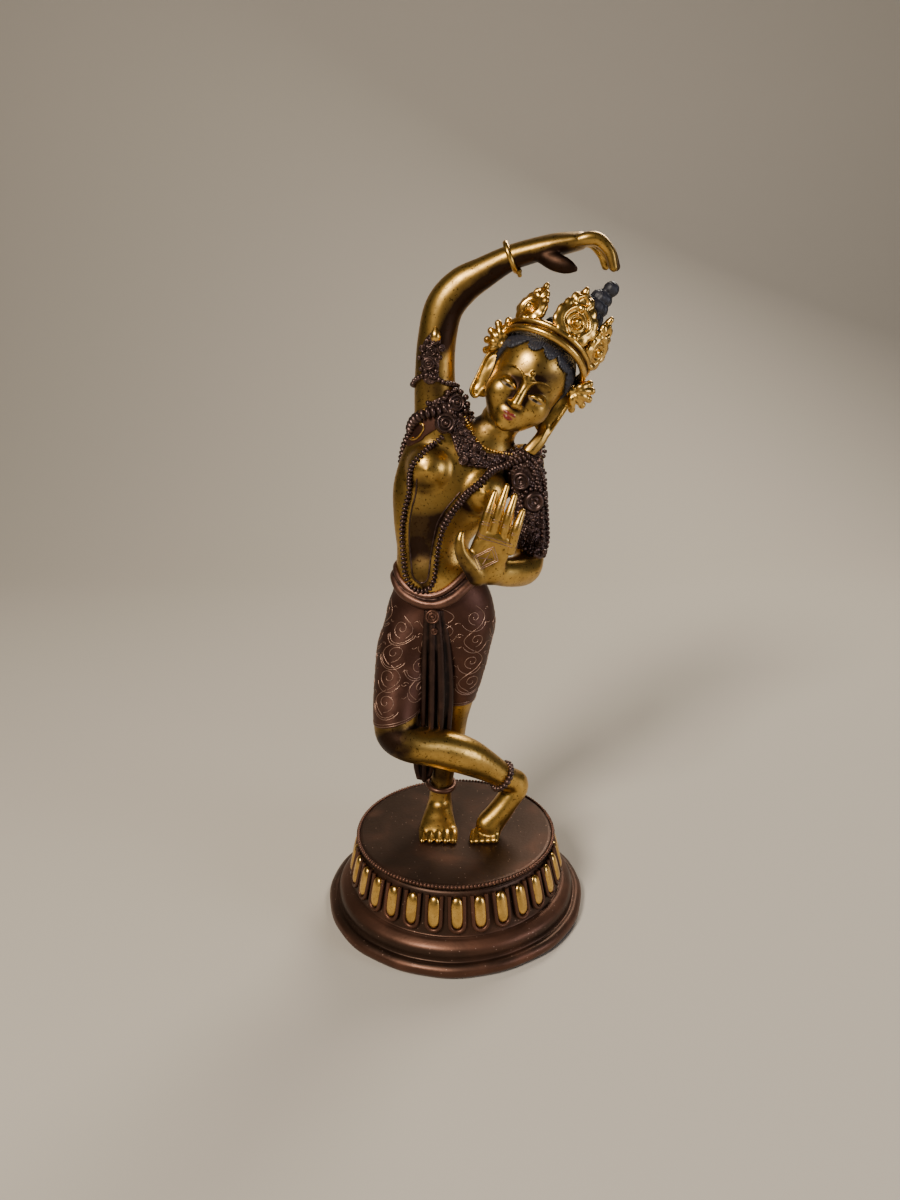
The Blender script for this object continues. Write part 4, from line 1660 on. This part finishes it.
# %% Pedestal body
DISC_RADIUS = 41.0
PEDESTAL_CURVE = [
    (FOOT_RADIUS - 2.6, 0), (FOOT_RADIUS - 0.9, 0.5), (FOOT_RADIUS, 2.2), (FOOT_RADIUS - 0.5, 4.2),
    (FOOT_RADIUS - 2.2, 5.5), (FOOT_RADIUS - 3.9, 5.5), (FOOT_RADIUS - 4.5, 6.6), (FOOT_RADIUS - 4.7, 8.6),
    (FOOT_RADIUS - 5.8, 10.6), (FOOT_RADIUS - 8, 12.2), (DISC_RADIUS + 4, 12.9), (DISC_RADIUS + 3, 14),
    (DISC_RADIUS + 1.2, 21), (DISC_RADIUS - 0.8, 28.6), (DISC_RADIUS - 1.6, 30), (DISC_RADIUS - 1, 31),
]
FOOT_SHIFT = (-0.7, 1.8)
FOOT_WAVES = ((3, 0.004, 1), (7, 0.004, 0), (16, 0.0025, 2))
SHIFTED_BELOW = 14
curve = smooth_path(PEDESTAL_CURVE, 5)
profile = [(0, 0), *map(tuple, curve), (DISC_RADIUS - 0.3, 31.6), (DISC_RADIUS - 0.3, DISC_HEIGHT - 0.5)]
profile += [(r, DISC_HEIGHT) for r in (DISC_RADIUS - 0.8, DISC_RADIUS - 2, *range(36, 2, -3), 0)]
pedestal_points, pedestal_faces = lathe(profile, 200)
angle = np.arctan2(pedestal_points[:, 1], pedestal_points[:, 0])
foot_share = np.clip(1 - pedestal_points[:, 2] / SHIFTED_BELOW, 0, 1)
wave = 1 + foot_share * sum(swing * np.sin(count * angle + start) for count, swing, start in FOOT_WAVES)
pedestal_points[:, :2] *= wave[:, None]
pedestal_points[:, :2] += np.outer(foot_share, FOOT_SHIFT)
height = pedestal_points[:, 2]
radius = np.hypot(pedestal_points[:, 0], pedestal_points[:, 1])
groove = np.exp(-(((radius - FOOT_RADIUS + 3.9) / 0.8) ** 2)) + np.exp(-(((height - 30) / 1.5) ** 2))
ledge = np.exp(-(((height - 11.4) / 1.6) ** 2)) + np.exp(-(((height - 3) / 2) ** 2))
pedestal_hollow = np.clip(0.44 + 0.5 * groove - 0.26 * ledge, 0, 1)
pedestal = mesh_piece(
    "pedestal_body", pedestal_points, pedestal_faces, BASE_COPPER, {"hollow": pedestal_hollow},
)
keep(pedestal, PEDESTAL)

# %% [markdown]
# Thirty lotus tongues stand round the wall, each a gilt swelling in a raised brown frame. One tongue and one
# frame are modelled lying flat, and a node tree stands a copy at each place round the disc.

# %% Lotus tongues
PETAL_COUNT, PETAL_WIDTH, PETAL_LENGTH, PETAL_LEAN = 30, 6.4, 15.0, math.radians(14)
PETAL_RADIUS, PETAL_HEIGHT = 42.9, 22.4


def tongue_path(inset, top):
    """The U-shaped outline of a tongue, from one top corner round the foot to the other."""
    half = PETAL_WIDTH / 2 - inset
    centre = PETAL_WIDTH / 2 - PETAL_LENGTH / 2
    arc = [(half * math.cos(a), centre + half * math.sin(a), 0) for a in np.linspace(0, -math.pi, 13)]
    return [(half, top, 0), (half, top / 2, 0), *arc, (-half, top / 2, 0), (-half, top, 0)]


def tongue_ring_tree():
    tree, given = node_tree("tongues_round_a_disc", [
        ("Shape", "NodeSocketObject"), ("Count", "NodeSocketInt"), ("Radius", "NodeSocketFloat"),
        ("Height", "NodeSocketFloat"), ("Lean", "NodeSocketFloat"), ("Material", "NodeSocketMaterial"),
    ])
    shape = add(tree, "GeometryNodeObjectInfo", {"Object": given["Shape"]})
    quarter = math.pi / 2
    stand = add(tree, "GeometryNodeTransform", {
        "Geometry": shape.outputs["Geometry"], "Rotation": (quarter, 0, quarter),
    })
    tilt = add(tree, "ShaderNodeCombineXYZ", {"Y": given["Lean"]})
    leant = add(tree, "GeometryNodeTransform", {
        "Geometry": stand.outputs["Geometry"], "Rotation": tilt.outputs["Vector"],
    })
    shift = add(tree, "ShaderNodeCombineXYZ", {"X": given["Radius"], "Z": given["Height"]})
    out = add(tree, "GeometryNodeTransform", {
        "Geometry": leant.outputs["Geometry"], "Translation": shift.outputs["Vector"],
    })
    points = add(tree, "GeometryNodePoints", {"Count": given["Count"]})
    index = add(tree, "GeometryNodeInputIndex")
    half_on = add(tree, "ShaderNodeMath", {0: index.outputs["Index"], 1: 0.5}, operation="ADD")
    step = add(tree, "ShaderNodeMath", {0: 2 * math.pi, 1: given["Count"]}, operation="DIVIDE")
    turn_by = add(tree, "ShaderNodeMath", {
        0: half_on.outputs["Value"], 1: step.outputs["Value"],
    }, operation="MULTIPLY")
    spin = add(tree, "ShaderNodeCombineXYZ", {"Z": turn_by.outputs["Value"]})
    ring = add(tree, "GeometryNodeInstanceOnPoints", {
        "Points": points.outputs["Points"], "Instance": out.outputs["Geometry"],
        "Rotation": spin.outputs["Vector"],
    })
    return end_tree(tree, ring.outputs["Instances"], given["Material"])


TONGUES = tongue_ring_tree()


def round_the_disc(name, shape, material):
    """Copies of a flat shape stood round the disc."""
    start = bpy.data.objects.new("start", bpy.data.meshes.new("start"))
    bpy.context.scene.collection.objects.link(start)
    sizes = {"Shape": shape, "Count": PETAL_COUNT, "Radius": PETAL_RADIUS * MM, "Height": PETAL_HEIGHT * MM}
    made = grown(name, start, TONGUES, {**sizes, "Lean": -PETAL_LEAN, "Material": material})
    bpy.data.objects.remove(shape)
    return made


def swelling(half_wide, low, high, rise, turns=16, rings=14):
    """A long rounded swelling, lying flat along y between two heights."""
    points, faces = [], []
    middle, half_long = (low + high) / 2, (high - low) / 2
    for i in range(1, rings):
        lean = math.pi * i / rings
        along = -math.cos(lean)
        size = (1 - abs(along) ** 4) ** 0.5
        for j in range(turns):
            a = 2 * math.pi * j / turns
            out, up = half_wide * size * math.cos(a), rise * size * math.sin(a)
            points.append((out, middle + half_long * along, up))
    for i in range(rings - 2):
        for j in range(turns):
            k = (j + 1) % turns
            faces.append([i * turns + k, i * turns + j, (i + 1) * turns + j, (i + 1) * turns + k])
    points.extend([(0, low, 0), (0, high, 0)])
    for j in range(turns):
        k = (j + 1) % turns
        faces.append([len(points) - 2, j, k])
        faces.append([len(points) - 1, (rings - 2) * turns + k, (rings - 2) * turns + j])
    return np.array(points), faces


frame_wire = wired("tongue_frame", [spaced(np.array(tongue_path(0.35, 7)), 0.8)], 0.85, BASE_COPPER)
frames = round_the_disc("tongue_frames", frame_wire, BASE_COPPER)
keep(frames, PEDESTAL)
gilt_swelling = swelling(half_wide=2.45, low=-6, high=6.6, rise=1.5)
gilt_shape = mesh_piece("gilt_tongue", *gilt_swelling, BRIGHT_GILDING)
tongues = round_the_disc("gilt_tongues", gilt_shape, BRIGHT_GILDING)
keep(tongues, PEDESTAL)

# %% Beaded rim of the disc
rim = hoop((0, 0, DISC_HEIGHT - 0.25), (0, 0, 1), DISC_RADIUS + 0.15, turns=240)
keep(strung("disc_rim_beads", [rim], 0.8, 1.5, 1, BELT_COPPER, closed=True), PEDESTAL)

# %% [markdown]
# The stage is a pale sweep of paper and three soft lights: a large one from the upper left as in the
# picture, a weaker one from the right and one from behind that draws the edge of the dark metal. The
# surroundings are mid grey, because polished metal only shows its shape when it has something dark to
# reflect.

# %% Floor, lights and surroundings
for shape in shapes.values():
    bpy.data.objects.remove(shape)
SWEEP_HALF, SWEEP_BACK, SWEEP_BEND, SWEEP_TOP = 3.0, 1.0, 0.5, 3.0
UNDER_THE_FOOT = 0.0002
bend_start = SWEEP_BACK - SWEEP_BEND
outline = [(-SWEEP_HALF, 0.0), (bend_start, 0.0)]
for a in np.linspace(0.1, math.pi / 2, 16):
    outline.append((bend_start + SWEEP_BEND * math.sin(a), SWEEP_BEND - SWEEP_BEND * math.cos(a)))
outline.append((SWEEP_BACK, SWEEP_TOP))
corners = [(x, y, z - UNDER_THE_FOOT) for y, z in outline for x in (-SWEEP_HALF, SWEEP_HALF)]
strips = [[2 * i, 2 * i + 1, 2 * i + 3, 2 * i + 2] for i in range(len(outline) - 1)]
paper = bpy.data.materials.new("pale_paper")
paper.use_nodes = True
paper_shader = paper.node_tree.nodes["Principled BSDF"].inputs
paper_shader["Base Color"].default_value = linear("#b9b2a6")
paper_shader["Roughness"].default_value = 0.8
floor = mesh_piece("floor", np.array(corners) / MM, strips, paper)


def soft_light(name, place, aim, size, power, colour):
    lamp = bpy.data.lights.new(name, "AREA")
    lamp.shape = "DISK"
    lamp.size = size
    lamp.energy = power
    lamp.color = linear(colour)[:3]
    made = bpy.data.objects.new(name, lamp)
    made.location = place
    made.rotation_euler = (Vector(aim) - Vector(place)).to_track_quat("-Z", "Y").to_euler()
    bpy.context.scene.collection.objects.link(made)


CHEST = (0, 0, 0.15)
soft_light("key_light", (-0.45, -0.75, 0.85), CHEST, size=0.3, power=17, colour="#fff4e6")
soft_light("fill_light", (0.85, -0.45, 0.3), CHEST, size=0.4, power=3.4, colour="#f4f4ff")
soft_light("edge_light", (0.35, 0.6, 0.7), CHEST, size=0.4, power=6, colour="#fff4e4")
world = bpy.data.worlds.new("studio_air")
world.use_nodes = True
air = world.node_tree.nodes["Background"].inputs
air["Color"].default_value = linear("#7d7b78")
air["Strength"].default_value = 0.13
bpy.context.scene.world = world
print("Triangles in all:", sum(triangles_made.values()))
